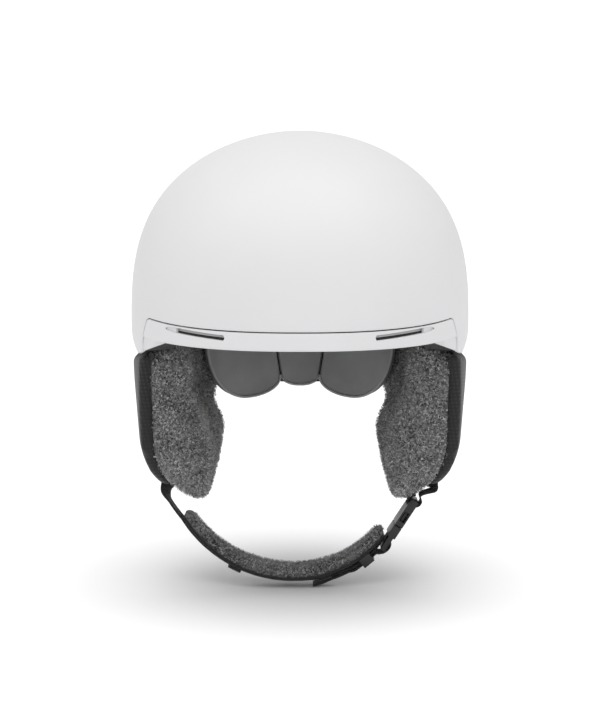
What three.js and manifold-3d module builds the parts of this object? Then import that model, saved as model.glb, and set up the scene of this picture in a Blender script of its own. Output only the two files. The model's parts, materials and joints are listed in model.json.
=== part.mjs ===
// A winter helmet: hard shell and front brim over a foam liner, fleece ear pads, a rear cradle that is
// tightened by a dial, a chin strap with a side-release buckle, and a hinged strap retainer at the back.
// Millimetres. +X is the wearer's left, -Y is the front, +Z is up. The origin is the centre of the head
// opening, level with the lowest point of the brim.
import * as THREE from 'three';
import Module from 'manifold-3d';

const wasm = await Module();
wasm.setup();

// ---------------------------------------------------------------- driving dimensions
const SHELL_HALF_WIDTH = 109.4;
const SHELL_FRONT = 132;
const SHELL_BACK = 138;
const SHELL_TOP = 129;
const WIDEST_HEIGHT = 4;
const SHELL_THICKNESS = 2.8;
const PROFILE_RISE = 2.9;
const PROFILE_SPREAD = 1.9;
const PLAN_POWER = 2.35;
const LOWER_TUCK = 0.035;
const TUCK_DEPTH = 17;
const SKIRT_TAPER = 0.012;

const SEAM_CENTRE = 11.6;
const SEAM_CORNER = 15;
const BRIM_RISE = 2.2;
const BRIM_THICKNESS = 2.2;
const FIT_GAP = 0.4;
const SLOT_LOW = 5.8;
const SLOT_HIGH = 9.1;
const SLOT_CLIMB = 2.7;
const VENT_THICKNESS = 1.5;

const LINER_OUTER_INSET = 5.6;
const LINER_INNER_INSET = 24;
const PAD_THICKNESS = 5;

const STRAP_WIDTH = 15;
const STRAP_THICKNESS = 1.1;
const STRAP_EXIT = { x: 88, y: 2, z: -106 };
const CHIN_CENTRE = { x: -4.7, z: -95 };
const CHIN_PAD_INNER = 60.5;
const CHIN_PAD_OUTER = 68.4;
const CHIN_BACKING_OUTER = 70.6;
const CHIN_WEBBING_RADIUS = 72.9;
const CHIN_TAIL_RADIUS = 75.1;
const CHIN_LEFT_END = 201;
const CHIN_RIGHT_END = 327;
const CHIN_LEFT_WIDENING = 6.2;
const CHIN_RIGHT_WIDENING = 2.8;

const BUCKLE_BAR = { x: 55.5, z: -144 };
const BUCKLE_UP = { x: 0.545, z: 0.838 };
const BUCKLE_HALF_WIDTH = 10.5;

const CRADLE_CENTRE_Y = 12;
const CRADLE_PAD_RADIUS = 78;
const CRADLE_FRAME_RADIUS = 85;
const CRADLE_PIVOT = { x: 81.2, y: -15, z: 4 };
const DIAL = { y: 111.5, z: -36.5, radius: 12.5, depth: 10 };
const PINION_RADIUS = 5;
const PINION_TEETH = 12;

const GOGGLE_PIVOT = { y: 142.4, z: 38 };

// ---------------------------------------------------------------- materials
const COLOURS = {
  shell: [0xe9e9e8, 0.35],
  vent: [0x6f7073, 0.6],
  foam: [0x2a2b2d, 0.9],
  pad: [0x3b3d40, 0.95],
  cover: [0x141415, 0.9],
  fleece: [0x6d6e72, 1.0],
  eva: [0x555659, 0.8],
  plastic: [0x1a1a1c, 0.45],
  webbing: [0x101011, 0.8],
  steel: [0xa9abae, 0.3],
};

function material(kind) {
  const [color, roughness] = COLOURS[kind];
  return new THREE.MeshStandardMaterial({ color, roughness, metalness: kind === 'steel' ? 0.9 : 0 });
}

const helmet = new THREE.Group();
helmet.name = 'ski_helmet';

function add(name, kind, geometry) {
  const mesh = new THREE.Mesh(geometry, material(kind));
  mesh.name = name;
  helmet.add(mesh);
  return mesh;
}

// ---------------------------------------------------------------- solids
const radians = THREE.MathUtils.degToRad;
const lerp = THREE.MathUtils.lerp;
const steps = (count) => Array.from({ length: count + 1 }, (_, i) => i / count);

// Closed geometry from corner points and triangles; equal points are shared and faces point outwards.
function closedGeometry(points, triangles) {
  const shared = new Map();
  const positions = [];
  const index = points.map((p) => {
    const key = p.map((value) => Math.round(value * 1e4)).join();
    if (!shared.has(key)) {
      shared.set(key, positions.length / 3);
      positions.push(...p);
    }
    return shared.get(key);
  });
  let faces = triangles
    .map((triangle) => triangle.map((corner) => index[corner]))
    .filter(([a, b, c]) => a !== b && b !== c && c !== a);
  const at = (i) => new THREE.Vector3().fromArray(positions, 3 * i);
  const volume = faces.reduce((sum, [a, b, c]) => sum + at(a).dot(at(b).cross(at(c))), 0);
  if (volume < 0) {
    faces = faces.map(([a, b, c]) => [a, c, b]);
  }
  const geometry = new THREE.BufferGeometry();
  geometry.setAttribute('position', new THREE.Float32BufferAttribute(positions, 3));
  geometry.setIndex(faces.flat());
  return geometry;
}

// Skin through rings of an even number of points. An open loft is capped by joining each ring's first half
// to its second half, so a ring is an outer run followed by the inner run backwards, or any convex outline.
function loft(rings, closed = false) {
  const size = rings[0].length;
  const points = rings.flat();
  const triangles = [];
  const spans = closed ? rings.length : rings.length - 1;
  for (let ring = 0; ring < spans; ring += 1) {
    const next = (ring + 1) % rings.length;
    for (let i = 0; i < size; i += 1) {
      const j = (i + 1) % size;
      const [a, b] = [ring * size + i, ring * size + j];
      const [c, d] = [next * size + j, next * size + i];
      triangles.push([a, b, c], [a, c, d]);
    }
  }
  const cap = (ring, flip) => {
    for (let i = 0; i < size / 2 - 1; i += 1) {
      const quad = [i, i + 1, size - 2 - i, size - 1 - i].map((corner) => ring * size + corner);
      const [a, b, c, d] = flip ? quad.reverse() : quad;
      triangles.push([a, b, c], [a, c, d]);
    }
  };
  if (!closed) {
    cap(0, true);
    cap(rings.length - 1, false);
  }
  return closedGeometry(points, triangles);
}

// Curved plate: outer(u, v) and inner(u, v) give its two skins.
function plate(outer, inner, columns, rows, closed = false) {
  const rings = columns.map((u) => [
    ...rows.map((v) => outer(u, v)),
    ...rows.map((v) => inner(u, v)).reverse(),
  ]);
  return loft(rings, closed);
}

function toManifold(geometry) {
  const mesh = new wasm.Mesh({
    numProp: 3,
    vertProperties: new Float32Array(geometry.attributes.position.array),
    triVerts: new Uint32Array(geometry.index.array),
  });
  return new wasm.Manifold(mesh);
}

// Closed geometry with shared corners, from an extrusion's separate triangles.
function indexed(geometry) {
  const flat = geometry.attributes.position;
  const points = Array.from({ length: flat.count }, (_, i) => [flat.getX(i), flat.getY(i), flat.getZ(i)]);
  const triangles = Array.from({ length: flat.count / 3 }, (_, i) => [3 * i, 3 * i + 1, 3 * i + 2]);
  return closedGeometry(points, triangles);
}

function fromManifold(solid) {
  const { vertProperties, triVerts, numProp } = solid.getMesh();
  const points = [];
  for (let i = 0; i < vertProperties.length; i += numProp) {
    points.push(Array.from(vertProperties.slice(i, i + 3)));
  }
  const triangles = [];
  for (let i = 0; i < triVerts.length; i += 3) {
    triangles.push(Array.from(triVerts.slice(i, i + 3)));
  }
  return closedGeometry(points, triangles);
}

function cut(geometry, ...tools) {
  const solid = tools.reduce((rest, tool) => rest.subtract(toManifold(tool)), toManifold(geometry));
  return fromManifold(solid);
}

function join(...pieces) {
  const solid = pieces.map(toManifold).reduce((sum, piece) => sum.add(piece));
  return fromManifold(solid);
}

function box(low, high) {
  const [x0, y0, z0] = low;
  const [x1, y1, z1] = high;
  const ring = (x) => [[x, y0, z0], [x, y1, z0], [x, y1, z1], [x, y0, z1]];
  return loft([ring(x0), ring(x1)]);
}

// Round bar along X, Y or Z, from one end coordinate to the other.
function rod(axis, centre, radius, from, to, sides = 16) {
  const ring = (along) => steps(sides).slice(0, sides).map((turn) => {
    const a = 2 * Math.PI * turn;
    const [p, q] = [radius * Math.cos(a), radius * Math.sin(a)];
    const [cx, cy, cz] = centre;
    return { x: [along, cy + p, cz + q], y: [cx + p, along, cz + q], z: [cx + p, cy + q, along] }[axis];
  });
  return loft([ring(from), ring(to)]);
}

// Flat strip along a path. Each station is [point, width direction]; width may change along the path.
function strip(stations, width, thickness) {
  const points = stations.map(([point]) => new THREE.Vector3(...point));
  const rings = stations.map(([, across], i) => {
    const before = points[Math.max(i - 1, 0)];
    const after = points[Math.min(i + 1, points.length - 1)];
    const along = after.clone().sub(before).normalize();
    const side = new THREE.Vector3(...across);
    side.addScaledVector(along, -side.dot(along)).normalize();
    const out = along.clone().cross(side);
    const wide = (typeof width === 'function' ? width(i / (stations.length - 1)) : width) / 2;
    const corner = (s, o) => points[i].clone()
      .addScaledVector(side, s * wide)
      .addScaledVector(out, o * thickness / 2)
      .toArray();
    return [corner(-1, -1), corner(1, -1), corner(1, 1), corner(-1, 1)];
  });
  return loft(rings);
}

// ---------------------------------------------------------------- the helmet's own surface
const power = (value, exponent) => Math.sign(value) * Math.abs(value) ** exponent;

// Point of the dome. Bearing runs from 0 at the front through 90 at the wearer's left to 180 at the back.
function planPoint(bearing, halfWidth, front, back, z) {
  const angle = radians(bearing);
  const across = power(Math.sin(angle), 2 / PLAN_POWER);
  const along = power(-Math.cos(angle), 2 / PLAN_POWER);
  return [halfWidth * across, (along < 0 ? front : back) * along, z];
}

function domeScale(z, height) {
  if (z < WIDEST_HEIGHT) {
    const drop = (WIDEST_HEIGHT - z) / TUCK_DEPTH;
    return 1 - LOWER_TUCK * Math.min(drop, 1) ** 2 - SKIRT_TAPER * Math.max(drop - 1, 0);
  }
  const rise = Math.min((z - WIDEST_HEIGHT) / height, 1);
  return (1 - rise ** PROFILE_RISE) ** (1 / PROFILE_SPREAD);
}

function domePoint(bearing, z, inset) {
  const height = SHELL_TOP - WIDEST_HEIGHT - inset;
  const scale = domeScale(z, height);
  const [halfWidth, front, back] = [SHELL_HALF_WIDTH, SHELL_FRONT, SHELL_BACK].map((r) => (r - inset) * scale);
  return planPoint(bearing, halfWidth, front, back, z);
}

// Heights from the crown (v = 0) down to an edge (v = 1), evenly spread along the curve.
function domeHeight(v, edge, inset) {
  const height = SHELL_TOP - WIDEST_HEIGHT - inset;
  const lowAngle = edge > WIDEST_HEIGHT
    ? Math.asin(((edge - WIDEST_HEIGHT) / height) ** (PROFILE_RISE / 2))
    : 0;
  const bend = edge > WIDEST_HEIGHT ? 1 : 0.86;
  if (v > bend) {
    return lerp(WIDEST_HEIGHT, edge, (v - bend) / (1 - bend));
  }
  const angle = lerp(Math.PI / 2, lowAngle, v / bend);
  return WIDEST_HEIGHT + height * Math.sin(angle) ** (2 / PROFILE_RISE);
}

// Piecewise straight curve through [position, value] knots.
function knots(list) {
  return (position) => {
    const last = list.length - 1;
    const next = list.findIndex(([at]) => at > position);
    if (next === 0) {
      return list[0][1];
    }
    if (next < 0) {
      return list[last][1];
    }
    const [[a, low], [b, high]] = [list[next - 1], list[next]];
    return lerp(low, high, (position - a) / (b - a));
  };
}

const fold = (bearing) => (bearing > 180 ? 360 - bearing : bearing);
const BRIM_CORNER = 58.5;
const BRIM_FOOT = 65.8;

// The brim's seam and its lower edge both climb towards its corners.
const brimClimb = (bearing) => Math.min(Math.abs(bearing) / BRIM_CORNER, 1) ** 2;
const seamHeight = (bearing) => lerp(SEAM_CENTRE, SEAM_CORNER, brimClimb(bearing));

const shellSideEdge = knots([
  [BRIM_CORNER, SEAM_CORNER], [BRIM_FOOT, -8], [74, -11.5], [90, -13], [122, -14],
  [138, -20], [148, -23], [160, -20], [166, -13], [172.5, -10], [180, -10],
]);
const shellEdge = (bearing) => (bearing < BRIM_CORNER ? seamHeight(bearing) : shellSideEdge(bearing));
const linerEdge = knots([
  [0, 0.8], [30, 1.6], [BRIM_CORNER, 3], [BRIM_FOOT, -7], [74, -10.5], [90, -12], [122, -13],
  [138, -19], [148, -22], [160, -19], [166, -12], [172.5, -9], [180, -9],
]);

const HALF_BEARINGS = [
  0, 8, 16, 24, 32, 40, 48, 54, BRIM_CORNER, BRIM_FOOT, 74, 82, 90, 98, 106, 114, 122, 130, 138, 146, 154,
  160, 166, 172.5, 180,
];
const BEARINGS = [
  ...HALF_BEARINGS,
  ...HALF_BEARINGS.slice(1, -1).map((bearing) => 360 - bearing).reverse(),
];
const DOME_ROWS = steps(10);

function domeSkin(inset, edge) {
  return (bearing, v) => domePoint(bearing, domeHeight(v, edge(fold(bearing)), inset), inset);
}

function outerShell() {
  const dome = plate(
    domeSkin(0, shellEdge),
    domeSkin(SHELL_THICKNESS, shellEdge),
    BEARINGS,
    DOME_ROWS,
    true,
  );
  const vents = [-1, 1].flatMap((side) => [
    domeBlock(180 - side * 13, 180 - side * 27, 74, 81, -3, 12),
    domeBlock(180 - side * 11, 180 - side * 24, 57, 63, -3, 12),
  ]);
  return cut(dome, ...vents);
}

// Block of the dome between two bearings, two heights and two insets. Its far end may sit higher by climb.
function domeBlock(fromBearing, toBearing, low, high, outerInset, innerInset, rows = 1, climb = 0) {
  const skin = (inset) => (u, v) => domePoint(
    lerp(fromBearing, toBearing, u),
    lerp(high, low, v) + climb * u,
    inset,
  );
  return plate(skin(outerInset), skin(innerInset), steps(4), steps(rows));
}

function brimEnd(z) {
  const way = (SEAM_CORNER - z) / (SEAM_CORNER - shellEdge(BRIM_FOOT));
  return lerp(BRIM_CORNER, BRIM_FOOT, way) - 0.5;
}

// Skin of the brim: u runs across the front, v from the seam to the lower edge.
function brimSkin(inset) {
  return (u, v) => {
    const way = lerp(-1, 1, u);
    const bearing = way * BRIM_CORNER;
    const z = lerp(seamHeight(bearing) - FIT_GAP, BRIM_RISE * brimClimb(bearing), v);
    return domePoint(way * brimEnd(z), z, inset);
  };
}

const SLOT_BEARINGS = [21, 40.5];

function brim() {
  const band = plate(brimSkin(0), brimSkin(BRIM_THICKNESS), steps(24), steps(3));
  const slots = [-1, 1].map((side) => {
    const [near, far] = SLOT_BEARINGS.map((bearing) => side * bearing);
    return domeBlock(near, far, SLOT_LOW, SLOT_HIGH, -3, 8, 1, SLOT_CLIMB);
  });
  return cut(band, ...slots);
}

function brimVent(side) {
  const [near, far] = [SLOT_BEARINGS[0] - 1.5, SLOT_BEARINGS[1] + 1.5].map((bearing) => side * bearing);
  const inset = BRIM_THICKNESS + FIT_GAP;
  return domeBlock(near, far, SLOT_LOW - 2.6, SLOT_HIGH + 1.2, inset, inset + VENT_THICKNESS, 1, SLOT_CLIMB);
}

function liner() {
  const foam = plate(
    domeSkin(LINER_OUTER_INSET, linerEdge),
    domeSkin(LINER_INNER_INSET, linerEdge),
    BEARINGS,
    DOME_ROWS,
    true,
  );
  const pockets = ANCHOR_BEARINGS.flatMap((bearing) => [-1, 1].map((side) => anchorBlock(side * bearing, 0.6)));
  return cut(foam, ...pockets);
}

// Comfort pad on the liner's inner face.
function linerPad(fromBearing, toBearing, low, high, columns) {
  const skin = (inset) => (u, v) => domePoint(lerp(fromBearing, toBearing, u), lerp(high, low, v), inset);
  const inset = LINER_INNER_INSET + 1;
  return plate(skin(inset), skin(inset + PAD_THICKNESS), steps(columns), steps(3));
}

function crownPad() {
  const inset = LINER_INNER_INSET + 1;
  const skin = (depth) => (bearing, v) => {
    const height = SHELL_TOP - WIDEST_HEIGHT - depth;
    const angle = lerp(Math.PI / 2, radians(44), v);
    return domePoint(bearing, WIDEST_HEIGHT + height * Math.sin(angle) ** (2 / PROFILE_RISE), depth);
  };
  const around = steps(20).slice(0, 20).map((turn) => 360 * turn);
  return plate(skin(inset), skin(inset + PAD_THICKNESS), around, steps(3), true);
}

// ---------------------------------------------------------------- ear pads
const earHalfWidth = knots([
  [-112, 80], [-105, 87], [-93, 94], [-86, 98], [-73, 101.8], [-31, 105], [-12, 105.6],
]);
const cheekHalfWidth = knots([[-112, 60], [-97, 56], [-80, 57], [-60, 63], [-35, 71], [-20, 75]]);
const napeHalfWidth = knots([[-112, 60], [-90, 57], [-74, 58], [-66, 66], [-58, 75], [-45, 76], [-20, 79]]);
const NAPE_BEARING = 115;
const CHEEK_BEARING = 80;

function earInnerHalfWidth(z, bearing) {
  const way = THREE.MathUtils.clamp((bearing - CHEEK_BEARING) / (NAPE_BEARING - CHEEK_BEARING), 0, 1);
  return lerp(cheekHalfWidth(z), napeHalfWidth(z), way);
}

const earBottom = knots([
  [0, -82], [0.08, -97], [0.18, -107], [0.3, -112], [0.42, -111], [0.55, -103], [0.7, -89], [0.85, -75],
  [1, -66],
]);
const earTop = knots([
  [60, -10.4], [BRIM_FOOT, -10.4], [74, -13.9], [90, -15.4], [122, -16.6], [134, -24], [143, -39], [150, -40],
]);
const EAR_COVER = 8;
const EAR_STRAP_GAP = 3.1;
const EAR_COLUMNS = steps(11);
const EAR_ROWS = steps(6);

function earBearing(u, v) {
  return lerp(lerp(65.5, 78, v), lerp(143, 130, v), u);
}

// Point of an ear pad, depth 0 on the outside and 1 on the inside; lift raises the lower edge.
function earPoint(side, u, v, depth, lift) {
  const top = earTop(earBearing(u, 0));
  const z = lerp(top, earBottom(u) + lift, v);
  const outer = earHalfWidth(z);
  const inner = earInnerHalfWidth(z, earBearing(u, v));
  const halfWidth = lerp(outer, inner, depth);
  return planPoint(side * earBearing(u, v), halfWidth, earFront(depth), earBack(depth), z);
}

const earFront = (depth) => lerp(112, 100, depth);
const earBack = (depth) => lerp(127, 113, depth);

function earDepth(z, bearing, distance) {
  return distance / (earHalfWidth(z) - earInnerHalfWidth(z, bearing));
}

function earLayer(side, from, to, lift) {
  const skin = (distance) => (u, v) => {
    const z = lerp(earTop(earBearing(u, 0)), earBottom(u) + lift, v);
    const depth = distance === 'inner' ? 1 : earDepth(z, earBearing(u, v), distance);
    return earPoint(side, u, v, depth, lift);
  };
  return plate(skin(from), skin(to), EAR_COLUMNS, EAR_ROWS);
}

const earCover = (side) => earLayer(side, 0, EAR_COVER, 8);
const earFleece = (side) => earLayer(side, EAR_COVER + EAR_STRAP_GAP, 'inner', 0);

// Webbing leg inside an ear pad, from the liner down to the exit at the pad's tip.
const ANCHOR_BEARINGS = [80, 118];

function strapLeg(side, topBearing, tipBearing) {
  const stations = steps(6).map((t) => {
    const z = lerp(linerEdge(topBearing) - 3.2, STRAP_EXIT.z + 1.5, t);
    const bearing = side * lerp(topBearing, tipBearing, t);
    const halfWidth = earHalfWidth(z) - EAR_COVER - EAR_STRAP_GAP / 2;
    const depth = earDepth(z, side * bearing, EAR_COVER + EAR_STRAP_GAP / 2);
    const at = (shift) => planPoint(bearing + shift, halfWidth, earFront(depth), earBack(depth), z);
    const [ahead, behind] = [at(-side), at(side)];
    return [at(0), behind.map((value, i) => value - ahead[i])];
  });
  return strip(stations, (t) => lerp(STRAP_WIDTH, 6, t ** 2), STRAP_THICKNESS);
}

function anchorBlock(bearing, grow) {
  const edge = linerEdge(Math.abs(bearing));
  const [x, y] = domePoint(bearing, edge, LINER_OUTER_INSET + 7);
  const half = { x: 2 + grow, y: 9 + grow };
  return box([x - half.x, y - half.y, edge + 1 - 8 * Math.sign(grow)], [x + half.x, y + half.y, edge + 9 + grow]);
}

// ---------------------------------------------------------------- rear cradle and dial
// Plate around the cradle's centre. anglesAt(v) gives its two side angles, from the top (v = 0) to the bottom,
// and outerAt(angle) its outer radius.
function arcPlate(innerRadius, outerAt, anglesAt, [high, low], columns = 8, rows = 4) {
  const skin = (radiusAt) => (u, v) => {
    const [from, to] = anglesAt(v);
    const degrees = lerp(from, to, u);
    const angle = radians(degrees);
    const radius = radiusAt(degrees);
    return [radius * Math.sin(angle), CRADLE_CENTRE_Y + radius * Math.cos(angle), lerp(high, low, v)];
  };
  return plate(skin(outerAt), skin(() => innerRadius), steps(columns), steps(rows));
}

function cradleFrame() {
  const narrowing = knots([[0, 33], [0.5, 33], [1, 26]]);
  const both = (v) => [-narrowing(v), narrowing(v)];
  return arcPlate(CRADLE_FRAME_RADIUS, () => CRADLE_FRAME_RADIUS + 2.4, both, [-20, -55], 10);
}

const PAD_TOP = -16;
const SIDE_PAD_BOTTOM = -58;
const CENTRE_PAD_BOTTOM = -50;
const padBack = knots([[33, CRADLE_FRAME_RADIUS - FIT_GAP], [54, CRADLE_PAD_RADIUS + 2.6]]);

// Side pad of the cradle: a lobe that hangs lowest beside the middle and thins out towards the temple.
function cradleSidePad(side) {
  const inner = knots([[0, 12.8], [0.75, 9.4], [0.86, 15], [0.94, 20], [1, 25]]);
  const outer = knots([[0, 54], [0.45, 50.5], [0.75, 43.5], [0.9, 37.5], [1, 32]]);
  const angles = (v) => [side * inner(v), side * outer(v)];
  const back = (degrees) => padBack(Math.abs(degrees));
  return arcPlate(CRADLE_PAD_RADIUS, back, angles, [PAD_TOP, SIDE_PAD_BOTTOM], 9, 8);
}

function cradleCentrePad() {
  const half = knots([[0, 12.2], [0.9, 8.6], [1, 4]]);
  const back = () => CRADLE_FRAME_RADIUS - FIT_GAP;
  return arcPlate(CRADLE_PAD_RADIUS, back, (v) => [-half(v), half(v)], [PAD_TOP, CENTRE_PAD_BOTTOM], 6, 6);
}

function headband(side) {
  const route = [
    [21.5, 100.3, -36.5], [34, 99, -35], [41.5, 94.5, -29], [47, 91, -22], [53, 85.5, -15], [61, 76.5, -5], [70, 62, 0],
    [77, 44, 2.5], [80.4, 24, 4], [81.2, 4, 4], [81.2, -21, 4],
  ];
  const stations = route.map(([x, y, z]) => [[side * x, y, z], [0, 0, 1]]);
  const band = strip(stations, 10, 1.6);
  const { x, y, z } = CRADLE_PIVOT;
  const pinHole = rod('x', [0, y, z], 2.3, side * (x - 4), side * (x + 4), 12);
  return cut(band, pinHole);
}

function templePin(side) {
  const { x, y, z } = CRADLE_PIVOT;
  const shank = rod('x', [0, y, z], 2, side * (x - 1.6), side * (x + 3), 12);
  const head = rod('x', [0, y, z], 4, side * (x - 2.8), side * (x - 1.3), 12);
  return join(shank, head);
}

const HOUSING = { halfWidth: 20, front: 99.8, back: 108, low: -48, high: -25 };
const CAVITY = { front: 101.2, low: -46, high: -27 };

function dialHousing() {
  const { halfWidth, front, back, low, high } = HOUSING;
  const block = box([-halfWidth, front, low], [halfWidth, back, high]);
  const cavity = box([-halfWidth + 2, CAVITY.front, CAVITY.low], [halfWidth - 2, back + 1, CAVITY.high]);
  const slots = [-1, 1].map((side) => {
    const z = DIAL.z + side * RACK_OFFSET;
    const [inner, outer] = [0, side * (halfWidth + 1)].sort((a, b) => a - b);
    return box([inner, 101.2, z - 3.4], [outer, 105.4, z + 3.4]);
  });
  return cut(block, cavity, ...slots);
}

function dialCover() {
  const { halfWidth, back, low, high } = HOUSING;
  const panel = box([-halfWidth, back + FIT_GAP, low], [halfWidth, back + 2, high]);
  return cut(panel, rod('y', [0, 0, DIAL.z], 3.4, back - 1, back + 3, 16));
}

// Gear outline as points around a circle, with straight-sided teeth.
function gearRing(teeth, root, tip, y, phase) {
  return steps(teeth).slice(0, teeth).flatMap((turn) => {
    const pitch = 2 * Math.PI / teeth;
    return [[-0.32, root], [-0.14, tip], [0.14, tip], [0.32, root]].map(([offset, radius]) => {
      const angle = 2 * Math.PI * turn + phase + offset * pitch;
      return [radius * Math.cos(angle), y, DIAL.z + radius * Math.sin(angle)];
    });
  });
}

function fanSolid(front, back) {
  const size = front.length;
  const points = [...front, ...back];
  const centre = (ring) => ring.reduce((sum, p) => sum.map((s, i) => s + p[i] / size), [0, 0, 0]);
  points.push(centre(front), centre(back));
  const triangles = [];
  for (let i = 0; i < size; i += 1) {
    const j = (i + 1) % size;
    triangles.push([i, j, size + j], [i, size + j, size + i]);
    triangles.push([2 * size, j, i], [2 * size + 1, size + i, size + j]);
  }
  return closedGeometry(points, triangles);
}

const RACK_OFFSET = PINION_RADIUS + 2.4;
const RACK_FACE = PINION_RADIUS + 0.9;
const TOOTH_PITCH = 2 * Math.PI * PINION_RADIUS / PINION_TEETH;

function dialPinion() {
  const [root, tip] = [PINION_RADIUS - 0.9, PINION_RADIUS + 0.6];
  const phase = Math.PI / 2;
  const gear = fanSolid(
    gearRing(PINION_TEETH, root, tip, 101.6, phase),
    gearRing(PINION_TEETH, root, tip, 105, phase),
  );
  return join(gear, rod('y', [0, 0, DIAL.z], 2.9, 104, 111.2, 16));
}

// Toothed end of a headband. The left one runs over the pinion and the right one under it.
function rack(side) {
  const up = side;
  const teeth = 11;
  const start = -side * 9.2;
  const outline = [];
  const base = DIAL.z + up * RACK_FACE;
  const back = DIAL.z + up * (RACK_FACE + 2.6);
  const tip = DIAL.z + up * (PINION_RADIUS - 0.5);
  for (let tooth = 0; tooth < teeth; tooth += 1) {
    const middle = (tooth - 3.5) * TOOTH_PITCH * side;
    const at = (share) => middle + share * TOOTH_PITCH * side;
    outline.push([at(-0.34), base], [at(-0.13), tip], [at(0.13), tip], [at(0.34), base]);
  }
  const end = side * 35.6;
  outline.push([end, base], [end, back], [start, back], [start, base]);
  const shape = new THREE.Shape(outline.map(([x, z]) => new THREE.Vector2(x, z)));
  const geometry = new THREE.ExtrudeGeometry(shape, { depth: 2.4, bevelEnabled: false });
  geometry.applyMatrix4(new THREE.Matrix4().set(1, 0, 0, 0, 0, 0, -1, 104.5, 0, 1, 0, 0, 0, 0, 0, 1));
  return indexed(geometry);
}

function dialKnob() {
  const lobes = 16;
  const front = DIAL.y;
  const ring = (y, scale) => gearRing(lobes, (DIAL.radius - 1.2) * scale, DIAL.radius * scale, y, 0);
  const grip = fanSolid(ring(front, 1), ring(front + DIAL.depth, 0.92));
  const bore = rod('y', [0, 0, DIAL.z], 2.1, front - 1, front + DIAL.depth - 2.4, 12);
  const screwHole = rod('y', [0, 0, DIAL.z], 1.3, front, front + DIAL.depth + 1, 12);
  return cut(grip, bore, screwHole);
}

function dialScrew() {
  const end = DIAL.y + DIAL.depth;
  const shank = rod('y', [0, 0, DIAL.z], 1, DIAL.y + 1, end + 1, 12);
  const head = rod('y', [0, 0, DIAL.z], 2.6, end + FIT_GAP, end + 1.8, 12);
  return join(shank, head);
}

// ---------------------------------------------------------------- chin strap
const ACROSS = [0, 1, 0];

// The chin pad's curve is an arc that opens out towards both ends.
function chinWidening(degrees) {
  const turn = ((degrees + 360) % 360) - 270;
  return turn < 0
    ? CHIN_LEFT_WIDENING * (turn / (CHIN_LEFT_END - 270)) ** 2
    : CHIN_RIGHT_WIDENING * (turn / (CHIN_RIGHT_END - 270)) ** 2;
}

function chinArcPoint(radius, degrees) {
  const angle = radians(degrees);
  const reach = radius + chinWidening(degrees);
  return [
    CHIN_CENTRE.x + reach * Math.cos(angle),
    STRAP_EXIT.y,
    CHIN_CENTRE.z + reach * Math.sin(angle),
  ];
}

// Crescent of the chin pad between two radii; it is narrower at its ends.
function chinCrescent(inner, outer, halfWidth, trim) {
  const rings = steps(18).map((t) => {
    const angle = lerp(CHIN_LEFT_END + trim, CHIN_RIGHT_END - trim, t);
    const ease = Math.sin(Math.PI * t) ** 0.6;
    const wide = lerp(halfWidth * 0.6, halfWidth, ease);
    const thin = lerp(0.55, 1, Math.min(1, 8 * Math.min(t, 1 - t)));
    const near = lerp(outer, inner, thin);
    const [a, b] = [chinArcPoint(near, angle), chinArcPoint(outer, angle)];
    return [[a[0], a[1] - wide, a[2]], [a[0], a[1] + wide, a[2]], [b[0], b[1] + wide, b[2]], [b[0], b[1] - wide, b[2]]];
  });
  return loft(rings);
}

function keeper(angle) {
  const [from, to] = [CHIN_BACKING_OUTER + FIT_GAP, CHIN_TAIL_RADIUS + 1.9];
  const wall = 0.8;
  const half = STRAP_WIDTH / 2 + 2.2;
  const arc = (inner, outer, wide, halfAngle) => loft(steps(2).map((t) => {
    const at = angle + lerp(-halfAngle, halfAngle, t);
    const [a, b] = [chinArcPoint(inner, at), chinArcPoint(outer, at)];
    const y = STRAP_EXIT.y;
    return [[a[0], y - wide, a[2]], [a[0], y + wide, a[2]], [b[0], y + wide, b[2]], [b[0], y - wide, b[2]]];
  }));
  return cut(arc(from, to, half, 3.6), arc(from + wall, to - wall, half - 1.2, 8));
}

const SLIDER_ANGLE = -50;

function sliderFrame() {
  const angle = radians(SLIDER_ANGLE);
  const along = new THREE.Vector3(-Math.sin(angle), 0, Math.cos(angle));
  const out = new THREE.Vector3(Math.cos(angle), 0, Math.sin(angle));
  const middle = new THREE.Vector3(CHIN_CENTRE.x, STRAP_EXIT.y, CHIN_CENTRE.z);
  middle.addScaledVector(out, chinWidening(SLIDER_ANGLE));
  return { along, out, middle };
}

function slider() {
  const { along, out, middle } = sliderFrame();
  const block = (inner, outer, wide, length) => {
    const ring = (shift) => [[inner, -wide], [inner, wide], [outer, wide], [outer, -wide]].map(([r, y]) => (
      middle.clone().addScaledVector(out, r).addScaledVector(along, shift).add(new THREE.Vector3(0, y, 0)).toArray()
    ));
    return loft([ring(-length / 2), ring(length / 2)]);
  };
  const inner = CHIN_BACKING_OUTER + FIT_GAP;
  const outer = CHIN_TAIL_RADIUS + 2.4;
  return cut(block(inner, outer, 10, 8.4), block(inner + 0.7, outer - 1.2, 8.3, 12));
}

// Point in the buckle's own frame: up along the strap, out away from the neck, across the webbing.
function bucklePoint(up, out, across = 0) {
  return [
    BUCKLE_BAR.x + BUCKLE_UP.x * up + BUCKLE_UP.z * out,
    STRAP_EXIT.y + across,
    BUCKLE_BAR.z + BUCKLE_UP.z * up - BUCKLE_UP.x * out,
  ];
}

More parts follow.
